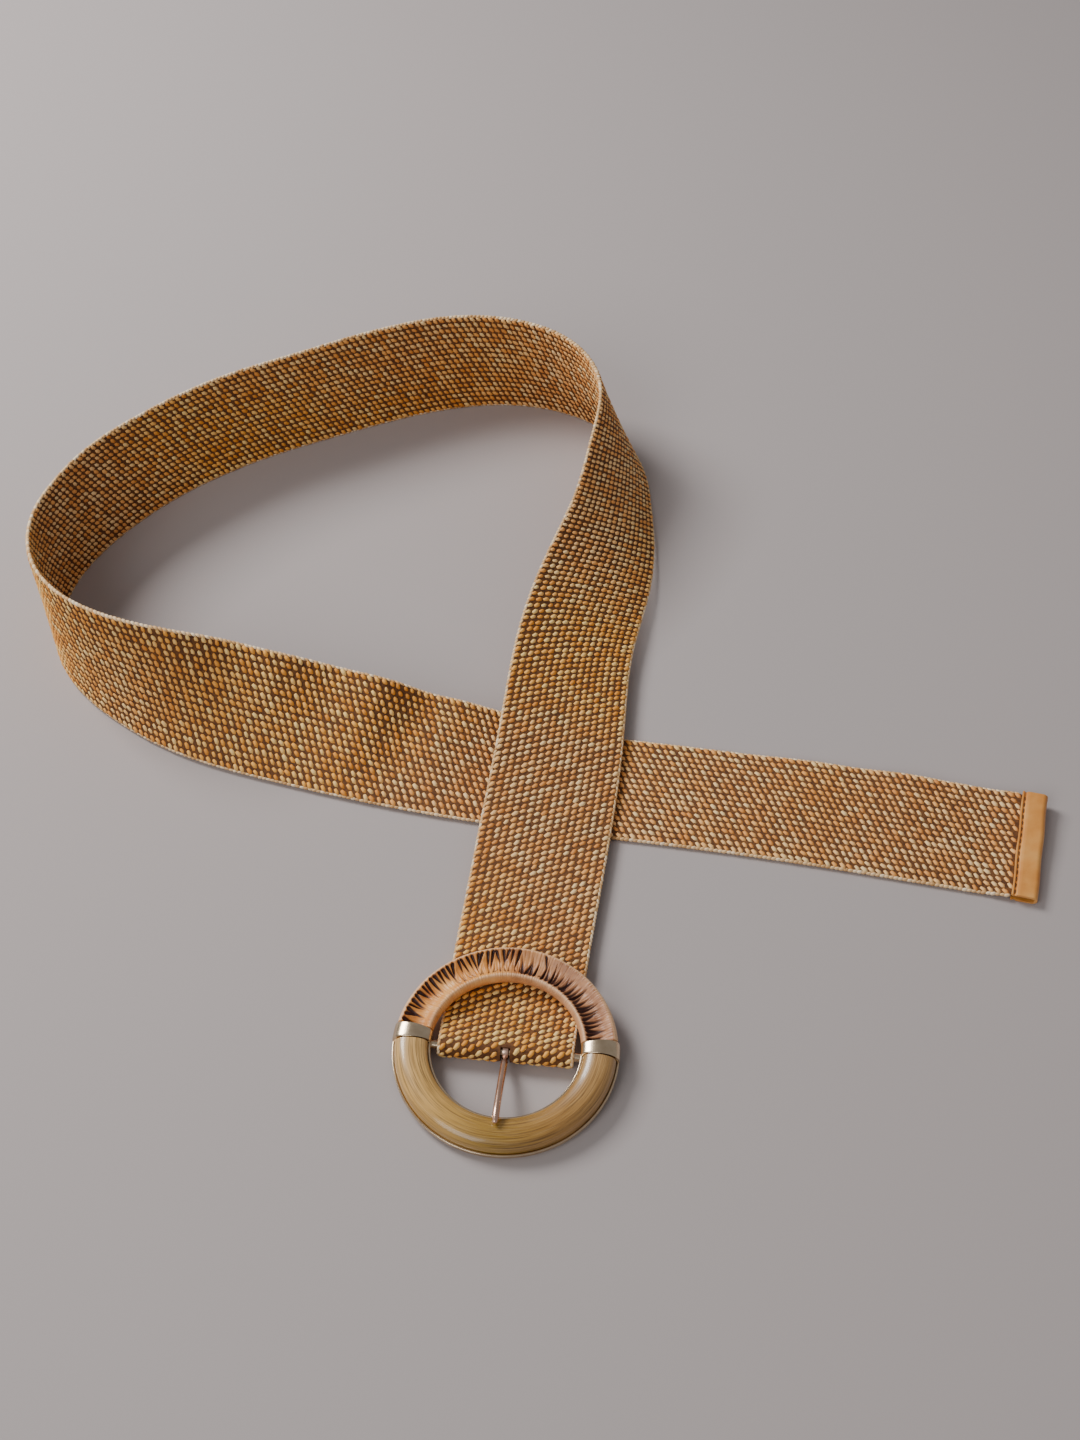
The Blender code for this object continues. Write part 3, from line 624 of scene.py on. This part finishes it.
def sweep(name, rings, finish, layers=None, sharp=35):
    """A closed solid through a row of sections, with a UV map along and round it."""
    rings = np.asarray(rings)
    total, count = rings.shape[:2]
    faces = []
    for r in range(total - 1):
        for i in range(count):
            j = (i + 1) % count
            faces.append((r * count + i, r * count + j, (r + 1) * count + j, (r + 1) * count + i))
    faces.append(tuple(range(count))[::-1])
    faces.append(tuple((total - 1) * count + i for i in range(count)))
    item = piece(name, rings.reshape(-1, 3), faces, finish, layers)
    mesh = item.data
    uv = mesh.uv_layers.new(name="along").data
    for polygon in mesh.polygons[:-2]:
        quad = polygon.index
        r, i = divmod(quad, count)
        corners = ((r, i), (r, i + 1), (r + 1, i + 1), (r + 1, i))
        for loop, (a, b) in zip(polygon.loop_indices, corners):
            uv[loop].uv = (a / (total - 1), b / count)
    middle = rings.reshape(-1, 3).mean(0)
    volume = 0.0
    for polygon in mesh.polygons[:-2]:
        volume += polygon.area * (polygon.center - Vector(middle)).dot(polygon.normal)
    if volume < 0:
        mesh.flip_normals()
    mesh.shade_smooth()
    mesh.set_sharp_from_angle(angle=math.radians(sharp))
    return item


def tip_outline():
    """The folded strip seen from the side: along the strap and over its middle."""
    inner = STRAP_END_THICKNESS / 2 + TIP_PLAY
    outer = inner + TIP_WALL
    bend = TIP_LENGTH - TIP_GRIP - outer
    lip_end = -TIP_GRIP + TIP_LIP
    groove_end = lip_end + TIP_GROOVE
    top = [(-TIP_GRIP, inner), (-TIP_GRIP, outer * 0.93), (lip_end, outer * 0.95),
           (lip_end + 0.25 * TIP_GROOVE, inner + TIP_GROOVE_FLOOR * TIP_WALL),
           (groove_end - 0.35 * TIP_GROOVE, inner + TIP_GROOVE_FLOOR * TIP_WALL),
           (groove_end, outer * 0.93),
           (groove_end + MM, outer * 1.02)]
    arc = [math.pi * (0.5 - i / 16) for i in range(17)]
    outline = top + [(bend + outer * math.cos(a), outer * math.sin(a)) for a in arc]
    outline += [(p, -q) for p, q in reversed(top)]
    outline += [(bend + inner * math.cos(a), inner * math.sin(a)) for a in reversed(arc)]
    return [tuple(p) for p in eased(outline, TIP_EDGE_ROUND, 2)]


def build_tip(finish):
    """The tip, and where the strap ends in it."""
    end = on_strap(np.array([course_length]), np.zeros(1), np.zeros(1))
    spot, out, forward, side = (v[0] for v in end)
    half = course["width"][-1] / 2
    outline = np.array(tip_outline())
    middle = outline.mean(0)
    rings = []
    edge = TIP_SIDE_ROUND
    stations = [(-half, 0.9), (-half + edge * 0.3, 0.97), (-half + edge, 1.0)]
    stations += [(x, 1.0) for x in np.linspace(-half, half, 22)[1:-1]]
    stations += [(half - edge, 1.0), (half - edge * 0.3, 0.97), (half, 0.9)]
    for across, share in stations:
        shape = middle + (outline - middle) * np.array([1 - (1 - share) * 0.3, share])
        slump = TIP_SLUMP * math.sin(across / half * 7)
        rings.append([spot + forward * (p + slump) + out * q + side * across for p, q in shape])
    tip = sweep("tip_strip", rings, finish)
    return tip, (spot, out, forward, side, half)


tan_leather = Finish("tip_leather_tan", Roughness=0.42, Coat_Weight=0.15, Coat_Roughness=0.35)
blotch = tan_leather.noise(tan_leather.place(), 120.0, 4.0)
tan_leather.colour(tan_leather.ramp(blotch, (0.25, (0.62, 0.22, 0.035)), (0.5, (0.78, 0.33, 0.07)),
                                    (0.8, (0.88, 0.47, 0.14))))
grain = tan_leather.noise(tan_leather.place(), 1800.0, 4.0, 0.6)
tan_leather.bump(grain, 0.06 * MM, 0.35)
tan_leather.roughness(grain, 0.36, 0.52)

tip, tip_seat = build_tip(tan_leather)
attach(tip, "strap")
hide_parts("strap_tip")

TIP_STITCH = 2.6 * MM
TIP_SEAM_INSET = 1.6 * MM
TIP_SEAM_LEVEL = 0.32            # share of the wall
TIP_SEAM_PLACE = 0.45            # share of the groove
THREAD_SIZES = (0.8 * TIP_STITCH, 0.5 * MM, 0.4 * MM)
THREAD_TURN = 0.08
THREAD_SPREAD = 0.05
thread = Finish("tip_thread", Roughness=0.6)
thread.colour(thread.ramp(thread.attribute("tone"), (0.0, (0.10, 0.035, 0.01)),
                          (1.0, (0.2, 0.08, 0.025))))
spot, out, forward, side, half = tip_seat
seam = []
for across in np.arange(-half + TIP_SEAM_INSET, half - MM, TIP_STITCH):
    for face_side in (1, -1):
        level = STRAP_END_THICKNESS / 2 + TIP_PLAY + TIP_SEAM_LEVEL * TIP_WALL
        along = -TIP_GRIP + TIP_LIP + TIP_GROOVE * TIP_SEAM_PLACE
        seam.append((spot + forward * along + out * face_side * level + side * across,
                     out * face_side, side))
sewing = set_stitches("tip_sewing", [s[0] for s in seam], [s[1] for s in seam], [s[2] for s in seam],
                      thread, THREAD_SIZES, THREAD_TURN, THREAD_SPREAD, 31)
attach(sewing, "strap")
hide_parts("strap_tip")


# Buckle frame
# A cast ring, plated pale gold. Its front half is a channel that holds the horn, its other
# half is bare inside the leather, and a collar covers each joint of the two. A bar crosses it.
SIDE_PLAY = 2.1 * MM
RING_WIDTH = 12.0 * MM
INLAY_TOP = 7.6 * MM
CROWN_POWER = 0.8
BASE_THICKNESS = 1.2 * MM
BASE_CHAMFER = 1.2 * MM
RIM_THICKNESS = 0.7 * MM
OUTER_RIM_HEIGHT = 2.7 * MM
INNER_RIM_HEIGHT = 4.2 * MM
COLLAR_SPAN = 9.0
COLLAR_RISE = 3.0
COLLAR_PROUD = 0.15 * MM
COLLAR_ROUND = 0.2 * MM
CHANNEL_ROUND = 0.22 * MM
CHANNEL_STATIONS = 160
BAR_SIDES = 32
WRAP_INSET = 0.55 * MM
WRAP_HEIGHT = 5.6 * MM
WRAP_RAISED = 1.0 * MM
UNDER_RING_PLAY = 0.4 * MM
BAR_HEIGHT = 1.5 * MM
RING_INNER = BAR_STRAP_WIDTH / 2 + SIDE_PLAY
RING_OUTER = RING_INNER + RING_WIDTH
RING_MIDDLE = (RING_INNER + RING_OUTER) / 2
WRAP_MIDDLE = RING_MIDDLE - WRAP_INSET / 2
REST_REACH = math.sqrt(RING_MIDDLE ** 2 - (BAR_STRAP_WIDTH / 2) ** 2)
BACK_REACH = RING_OUTER - BASE_CHAMFER
STRAP_TOP = STRAP_LEVEL + STRAP_THICKNESS / 2
RING_TILT = math.atan2(STRAP_TOP + UNDER_RING_PLAY - WRAP_RAISED, BACK_REACH + REST_REACH)
ring_turn = Matrix.Rotation(math.radians(HEADING[0][1] - 90), 4, 'Z') @ Matrix.Rotation(RING_TILT, 4, 'X')
ring_seat = Matrix.Translation(bar_place) @ ring_turn @ Matrix.Translation((0, 0, -BAR_HEIGHT))
SEAT_TURN = np.array(ring_seat.to_3x3())
SEAT_PLACE = np.array(ring_seat.translation)


def seated(points):
    """Points of the ring's own frame, put where the ring lies."""
    return np.asarray(points) @ SEAT_TURN.T + SEAT_PLACE


def at_angle(section, degrees):
    """A section of (radius, height) points stood up at one angle of the ring."""
    a = math.radians(degrees)
    section = np.asarray(section)
    return seated(np.stack([section[:, 0] * math.cos(a), section[:, 0] * math.sin(a), section[:, 1]], 1))


def dome(inner, outer, foot, shoulder_in, shoulder_out, crown, count=24):
    """A flat-footed section whose top is rounded from its outer to its inner side."""
    points = [(inner, foot), (outer, foot), (outer, shoulder_out)]
    middle, half = (inner + outer) / 2, (outer - inner) / 2
    for i in range(1, count):
        a = math.pi * i / count
        shoulder = shoulder_out + (shoulder_in - shoulder_out) * i / count
        points.append((middle + half * math.cos(a),
                       shoulder + (crown - shoulder) * math.sin(a) ** CROWN_POWER))
    points.append((inner, shoulder_in))
    return points


pale_gold = Finish("pale_gold_plate", Metallic=1.0, Roughness=0.2)
wear = pale_gold.noise(pale_gold.place(), 300.0, 5.0, 0.6)
pale_gold.colour(pale_gold.ramp(wear, (0.3, (0.66, 0.50, 0.33)), (0.7, (0.78, 0.62, 0.43))))
pale_gold.roughness(wear, 0.14, 0.3)
pale_gold.bump(pale_gold.noise(pale_gold.place(), 1500.0, 3.0), 0.01 * MM, 0.3)


def of_buckle(item, *nodes, slot="pale_gold"):
    """Lets a piece turn with the ring in the place of its solids."""
    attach(item, "buckle")
    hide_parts(*nodes)


channel = [
    (RING_INNER, 0), (BACK_REACH, 0), (RING_OUTER, BASE_CHAMFER), (RING_OUTER, OUTER_RIM_HEIGHT),
    (RING_OUTER - RIM_THICKNESS, OUTER_RIM_HEIGHT), (RING_OUTER - RIM_THICKNESS, BASE_THICKNESS),
    (RING_INNER + RIM_THICKNESS, BASE_THICKNESS), (RING_INNER + RIM_THICKNESS, INNER_RIM_HEIGHT),
    (RING_INNER, INNER_RIM_HEIGHT),
]
channel = [tuple(p) for p in eased(channel, CHANNEL_ROUND)]
channel_angles = np.linspace(180 - COLLAR_RISE, 360 + COLLAR_RISE, CHANNEL_STATIONS)
channel_rings = [at_angle(channel, a) for a in channel_angles]
of_buckle(sweep("ring_channel", channel_rings, pale_gold), "buckle_frame")

collar = dome(RING_INNER - COLLAR_PROUD, RING_OUTER + COLLAR_PROUD, -COLLAR_PROUD,
              INNER_RIM_HEIGHT, OUTER_RIM_HEIGHT, INLAY_TOP + COLLAR_PROUD)
collar = np.array([tuple(p) for p in eased(collar, COLLAR_ROUND, 2)])
collar_middle = collar.mean(0)
for collar_name, centre in (("collar_right", COLLAR_RISE), ("collar_left", 180 - COLLAR_RISE)):
    half_span = COLLAR_SPAN / 2
    # place across the half span, share of the full section
    stations = [(-1, 0.955), (-0.97, 0.98), (-0.9, 0.995), (-0.8, 1.0), (-0.4, 1.0), (0, 1.0), (0.4, 1.0),
                (0.8, 1.0), (0.9, 0.995), (0.97, 0.98), (1, 0.955)]
    rings = [at_angle(collar_middle + (collar - collar_middle) * share, centre + place * half_span)
             for place, share in stations]
    of_buckle(sweep(collar_name, rings, pale_gold), "buckle_frame")

bar_round = [2 * math.pi * i / BAR_SIDES for i in range(BAR_SIDES)]
bar_rings = [seated([(x, BAR_RADIUS * math.cos(a), BAR_HEIGHT + BAR_RADIUS * math.sin(a))
                     for a in bar_round])
             for x in np.linspace(-RING_INNER - RIM_THICKNESS / 2, RING_INNER + RIM_THICKNESS / 2, 6)]
of_buckle(sweep("ring_bar", bar_rings, pale_gold), "buckle_frame")


# Horn inlay
# Half a ring of horn, turned and polished, lies in the frame's channel. Its brown streaks
# follow the ring, on a ground that goes from olive at the front to tan at its ends; the
# brighter golden tan at the left end is a painted reflection of the lamp.
INLAY_PLAY = 0.12 * MM           # between the horn and the channel's rims
INLAY_BED = 0.1 * MM
INLAY_ROUND = 0.15 * MM
INLAY_STATIONS = 140

horn = Finish("horn_polished_painted_sheen", Roughness=0.3, Coat_Weight=0.5, Coat_Roughness=0.12)
flow = horn.node("TexCoord").outputs["UV"]
broad = horn.noise(horn.stretched(flow, (2.2, 6.0, 1.0)), 2.4, 3.0, 0.55)
streak = horn.noise(horn.stretched(flow, (1.6, 26.0, 1.0)), 2.6, 5.0, 0.6)
hair = horn.noise(horn.stretched(flow, (3.0, 90.0, 1.0)), 2.2, 3.0, 0.6)
run_along = horn.node("SeparateXYZ", Vector=flow).outputs["X"]
# Painted reflection: the tan is brightest and most golden at the left end, which faces the lamp.
horn_tint_and_painted_sheen = horn.ramp(run_along, (0.0, (0.80, 0.48, 0.17)), (0.26, (0.66, 0.38, 0.10)),
                        (0.5, (0.34, 0.19, 0.018)), (0.7, (0.40, 0.20, 0.045)), (1.0, (0.50, 0.28, 0.10)))
clouds = horn.ramp(broad, (0.45, (0, 0, 0)), (0.75, (0.7, 0.7, 0.7)))
streaks = horn.ramp(streak, (0.50, (0, 0, 0)), (0.62, (0.9, 0.9, 0.9)))
hairs = horn.ramp(hair, (0.52, (0, 0, 0)), (0.7, (0.6, 0.6, 0.6)))
cloudy = horn.mix(clouds, horn_tint_and_painted_sheen, (0.22, 0.10, 0.012))
streaked = horn.mix(streaks, cloudy, (0.10, 0.042, 0.008))
horn.colour(horn.mix(hairs, streaked, (0.80, 0.52, 0.22)))
horn.roughness(broad, 0.24, 0.4)
horn.bump(hair, 0.02 * MM, 0.25)

inlay_gap = FIT_PLAY / RING_INNER * 180 / math.pi
inlay_start = 180 + COLLAR_SPAN / 2 - COLLAR_RISE + inlay_gap
inlay_section = dome(RING_INNER + RIM_THICKNESS + INLAY_PLAY,
                     RING_OUTER - RIM_THICKNESS - INLAY_PLAY, BASE_THICKNESS + INLAY_BED,
                     INNER_RIM_HEIGHT + FIT_PLAY, OUTER_RIM_HEIGHT + FIT_PLAY,
                     INLAY_TOP)
inlay_section = [tuple(p) for p in eased(inlay_section, INLAY_ROUND, 2)]
inlay_angles = np.linspace(inlay_start, 540 - inlay_start, INLAY_STATIONS)
inlay_rings = [at_angle(inlay_section, a) for a in inlay_angles]
of_buckle(sweep("horn_half_ring", inlay_rings, horn), "horn_inlay", slot="horn")


# Leather wrap
# Thin brown leather is gathered round the ring's other half. Its two rims stay smooth and
# pale; between them it is drawn into many small folds, painted dark in their depth as shade.
# Its left part is painted lighter and its right part darker, as painted light from the left.
WRAP_STEPS = 760
FOLD_COUNT = 54
WRAP_RIPPLE = 0.10 * MM          # fine unevenness between the folds
# The painted shade in a fold is darkest at this depth.
WRAP_DEEP = 0.9 * MM             # depth at which a fold is darkest
# place across the half width, share of the height
WRAP_SECTION = (
    (1.00, 0.45), (0.97, 0.78), (0.80, 1.00), (0.58, 0.92), (0.28, 0.74), (-0.05, 0.69),
    (-0.38, 0.76), (-0.64, 0.93), (-0.82, 0.97), (-0.97, 0.76), (-1.00, 0.45),
    (-0.85, 0.12), (-0.40, 0.00), (0.40, 0.00), (0.85, 0.12),
)


def rounded_loop(rows, parts):
    """A closed smooth line through the rows."""
    rows = np.array(rows, float)
    points = []
    for i in range(len(rows)):
        a, b, c, d = rows[i - 1], rows[i], rows[(i + 1) % len(rows)], rows[(i + 2) % len(rows)]
        for k in range(parts):
            t = k / parts
            points.append(0.5 * (2 * b + (c - a) * t + (2 * a - 5 * b + 4 * c - d) * t * t
                                 + (3 * b - a - 3 * c + d) * t ** 3))
    return np.array(points)


def wrap_folds(seed):
    """Folds of the wrap: angle, start and end across it, half width, depth and slant."""
    chance = np.random.default_rng(seed)
    start = COLLAR_RISE + COLLAR_SPAN / 2 + 1.2
    folds = []
    for k in range(FOLD_COUNT):
        angle = start + (180 - 2 * start) * (k + 0.5) / FOLD_COUNT + chance.normal(0, 0.5)
        leftness = np.clip((angle - 62) / 40, 0, 1)
        if chance.random() < leftness:
            begin, reach = 0.70, -chance.uniform(0.75, 1.15)
        else:
            begin, reach = -0.60, chance.uniform(0.9, 1.25)
        wide = chance.uniform(0.6, 1.05) * MM
        folds.append((angle, begin, begin + reach, wide, chance.uniform(0.7, 1.1) * MM,
                      chance.normal(0, 2.2)))
        if 45 < angle < 130:
            folds.append((angle + chance.uniform(1.5, 3), -0.55, -0.05, 0.5 * MM, 0.5 * MM,
                          chance.normal(0, 2)))
    return folds


def build_wrap(finish):
    """The gathered sleeve, with the depth of its folds kept for the painted shade in its material."""
    gap = FIT_PLAY / RING_INNER * 180 / math.pi
    start = COLLAR_RISE + COLLAR_SPAN / 2 + gap
    angles = np.linspace(start, 180 - start, WRAP_STEPS)
    loop = rounded_loop(WRAP_SECTION, 4)
    place, share = loop[:, 0], loop[:, 1]
    half = RING_OUTER - WRAP_INSET - WRAP_MIDDLE
    on_top = np.clip((share - 0.55) / 0.12, 0, 1)
    depth = np.zeros((len(angles), len(place)))
    for angle, begin, end, wide, deep, slant in wrap_folds(41):
        t = np.clip((place - begin) / (end - begin), -1, 1)
        inside = (t >= -0.12) & (t <= 1)
        fade = np.clip(1 - t, 0, 1) * np.clip((t + 0.12) / 0.12, 0, 1)
        centre = np.radians(angle + slant * t)
        away = (np.radians(angles)[:, None] - centre[None, :]) * (WRAP_MIDDLE + half * place)[None, :]
        reach = wide * (0.25 + 0.75 * fade)
        groove = np.clip(1 - (away / reach[None, :]) ** 2, 0, 1)
        depth = np.maximum(depth, deep * groove ** 1.3 * (fade ** 0.6 * inside * on_top)[None, :])
    ripple = np.random.default_rng(43).normal(0, 1, len(angles))
    ripple = np.convolve(ripple, np.hanning(7) / np.hanning(7).sum(), 'same')
    sunk = depth + (WRAP_RIPPLE * ripple)[:, None] * on_top[None, :]
    rings = []
    for i, angle in enumerate(angles):
        radius = WRAP_MIDDLE + half * place
        height = WRAP_RAISED + WRAP_HEIGHT * share - sunk[i]
        rings.append(at_angle(np.stack([radius, height], 1), angle))
    layers = {"depth": depth / WRAP_DEEP, "place": np.tile(place * 0.5 + 0.5, (len(angles), 1)),
              "turn": np.tile(((angles - start) / (180 - 2 * start))[:, None], (1, len(place)))}
    return sweep("gathered_leather", rings, finish, layers, sharp=70)


gathered = Finish("wrap_leather_painted_light", Roughness=0.45, Coat_Weight=0.1, Coat_Roughness=0.3)
turn_share = gathered.attribute("turn")
smear = gathered.noise(gathered.place(), 160.0, 4.0, 0.6)
# Lit and shaded copies of the tan: the left part gets the lighter, more orange one and the right part the
# darker one, as painted light from the lamp at the upper left.
lit_tan_painted = gathered.ramp(smear, (0.3, (0.46, 0.13, 0.02)), (0.55, (0.82, 0.34, 0.07)),
                         (0.8, (0.95, 0.52, 0.18)))
shaded_tan_painted = gathered.ramp(smear, (0.3, (0.30, 0.11, 0.045)), (0.55, (0.56, 0.26, 0.12)),
                          (0.8, (0.78, 0.44, 0.25)))
painted_light_leftward = gathered.ramp(turn_share, (0.35, (0, 0, 0)), (0.62, (1, 1, 1)))
leather_tint_painted_light = gathered.mix(painted_light_leftward, shaded_tan_painted, lit_tan_painted)
# The rims get a pale leather colour; the inner wall at the low end of the ramp keeps little of it, as
# painted shade.
rim_share_and_painted_shade = gathered.ramp(gathered.attribute("place"), (0.03, (0.2, 0.2, 0.2)),
                          (0.09, (0.8, 0.8, 0.8)), (0.15, (0, 0, 0)), (0.87, (0, 0, 0)),
                          (0.92, (0.8, 0.8, 0.8)), (1.0, (1, 1, 1)))
rimmed = gathered.mix(rim_share_and_painted_shade, leather_tint_painted_light, (0.92, 0.56, 0.30))
# Painted shade: the deeper a fold, the nearer its colour goes to near black.
deep = gathered.ramp(gathered.attribute("depth"), (0.12, (0, 0, 0)), (0.55, (1, 1, 1)))
gathered.colour(gathered.mix(deep, rimmed, (0.045, 0.009, 0.005)))
gathered.bump(gathered.noise(gathered.place(), 900.0, 4.0, 0.6), 0.08 * MM, 0.4)
of_buckle(build_wrap(gathered), "leather_wrap", slot="lacing_leather")


# Prong
# One brass wire plated rose gold: an eye round the bar, a straight shank through the slit
# in the strap's fold, and a tapered end that is bent down to lie on the horn.
PRONG_DIAMETER = 2.2 * MM
PRONG_EYE_WALL = 1.0 * MM
PRONG_EYE_WIDTH = 2.0 * MM
PRONG_LAP = 4.3 * MM
PRONG_SIDES = 20
EYE_STATIONS = 48
EYE_ROUND = 0.3 * MM
# share of the way, height as a share of its height on the inlay, share of its thickness
PRONG_LINE = (
    (0.00, 0.00, 0.80), (0.10, 0.12, 1.00), (0.38, 0.52, 1.00), (0.70, 0.88, 1.00),
    (0.85, 0.99, 1.00), (0.95, 1.00, 0.85), (0.99, 0.98, 0.60), (1.00, 0.97, 0.25),
)


def inlay_height(radius):
    """Top of the inlay over the ring's back at one radius."""
    inner = RING_INNER + RIM_THICKNESS + FIT_PLAY
    outer = RING_OUTER - RIM_THICKNESS - FIT_PLAY
    middle, half = (inner + outer) / 2, (outer - inner) / 2
    a = math.acos(max(-1, min(1, (radius - middle) / half)))
    shoulder_out, shoulder_in = OUTER_RIM_HEIGHT + FIT_PLAY, INNER_RIM_HEIGHT + FIT_PLAY
    shoulder = shoulder_out + (shoulder_in - shoulder_out) * a / math.pi
    return shoulder + (INLAY_TOP - shoulder) * math.sin(a) ** CROWN_POWER


def build_shank(finish):
    """The wire from its eye to its end on the horn."""
    radius = PRONG_DIAMETER / 2
    first = BAR_RADIUS + FIT_PLAY + PRONG_EYE_WALL / 2
    tip_reach = RING_INNER + PRONG_LAP
    rest_level = inlay_height(tip_reach) + FIT_PLAY + radius - BAR_HEIGHT
    ways = np.concatenate([np.linspace(0, 0.93, 34), np.linspace(0.94, 1.0, 12)])
    reach = first + (tip_reach - first) * ways
    level = BAR_HEIGHT + rest_level * read(PRONG_LINE, ways, 1)
    size = radius * np.maximum(read(PRONG_LINE, ways, 2), 0.05)
    lean = np.arctan2(np.gradient(level), np.gradient(reach))
    rings = []
    for r, z, s, tilt in zip(reach, level, size, lean):
        ring = []
        for k in range(PRONG_SIDES):
            a = 2 * math.pi * k / PRONG_SIDES
            across, rise = s * math.cos(a), s * math.sin(a)
            ring.append((across, -r + rise * math.sin(tilt), z + rise * math.cos(tilt)))
        rings.append(seated(ring))
    return sweep("prong_shank", rings, finish)


def build_eye(finish):
    """The wire's flattened end, closed round the bar."""
    inner = BAR_RADIUS + FIT_PLAY
    wall = PRONG_EYE_WALL
    half = PRONG_EYE_WIDTH / 2
    section = eased([(-half, inner), (half, inner), (half, inner + wall), (-half, inner + wall)],
                    EYE_ROUND)
    rings = []
    count = EYE_STATIONS
    for i in range(count):
        a = 2 * math.pi * i / count
        rings.append(seated([(p.x, p.y * math.cos(a), BAR_HEIGHT + p.y * math.sin(a)) for p in section]))
    points = np.concatenate(rings)
    around = len(section)
    faces = []
    for r in range(count):
        s = (r + 1) % count
        for i in range(around):
            j = (i + 1) % around
            faces.append((r * around + i, r * around + j, s * around + j, s * around + i))
    eye = piece("prong_eye", points, faces, finish)
    eye.data.shade_smooth()
    return eye


rose_gold = Finish("rose_gold_plate", Metallic=1.0, Roughness=0.24)
rub = rose_gold.noise(rose_gold.place(), 120.0, 2.0)
rose_gold.colour(rose_gold.ramp(rub, (0.3, (0.70, 0.42, 0.30)), (0.7, (0.84, 0.58, 0.45))))
rose_gold.roughness(rub, 0.18, 0.34)
for prong_piece in (build_shank(rose_gold), build_eye(rose_gold)):
    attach(prong_piece, "prong")
    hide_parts("prong")


# Floor
# A plain pale grey board, matt, on which the belt lies.
FLOOR_HALF = 2.2
board = Finish("floor_board", Roughness=0.9, Base_Color=(0.44, 0.39, 0.38, 1))
floor = piece("floor", [(-FLOOR_HALF, -FLOOR_HALF, 0), (FLOOR_HALF, -FLOOR_HALF, 0),
                        (FLOOR_HALF, FLOOR_HALF, 0), (-FLOOR_HALF, FLOOR_HALF, 0)], [(0, 1, 2, 3)], board)


# Light
# A large soft lamp stands to the upper left, a weaker one fills from the front, and the
# room is evenly grey.
def lamp(name, place, size, power):
    """A square lamp that points at the origin."""
    light = bpy.data.lights.new(name, 'AREA')
    light.shape = 'SQUARE'
    light.size = size
    light.energy = power
    item = bpy.data.objects.new(name, light)
    item.location = place
    item.rotation_euler = (-Vector(place)).to_track_quat('-Z', 'Y').to_euler()
    bpy.context.scene.collection.objects.link(item)


lamp("key_lamp", (-0.80, 0.55, 0.85), 0.5, 17.0)
lamp("fill_lamp", (-0.75, -1.0, 1.0), 0.8, 8.0)
room = bpy.data.worlds.new("room")
room.use_nodes = True
room.node_tree.nodes["Background"].inputs["Color"].default_value = (0.86, 0.85, 0.86, 1)
room.node_tree.nodes["Background"].inputs["Strength"].default_value = 0.32
bpy.context.scene.world = room


# Camera
# It looks down on the belt from the front, as the photograph was taken.
CAMERA_BEHIND_BAR = (10.6 * MM, -299.4 * MM, 505.1 * MM)
CAMERA_PITCH = 49.0
CAMERA_LENS = 46.25
camera = bpy.data.cameras.new("camera")
camera.sensor_fit = 'VERTICAL'
camera.sensor_height = 36
camera.lens = CAMERA_LENS
camera_item = bpy.data.objects.new("camera", camera)
behind_x, behind_y, height = CAMERA_BEHIND_BAR
camera_item.location = (bar_place.x + behind_x, bar_place.y + behind_y, height)
camera_item.rotation_euler = (math.radians(90 - CAMERA_PITCH), 0, 0)
bpy.context.scene.collection.objects.link(camera_item)
bpy.context.scene.camera = camera_item
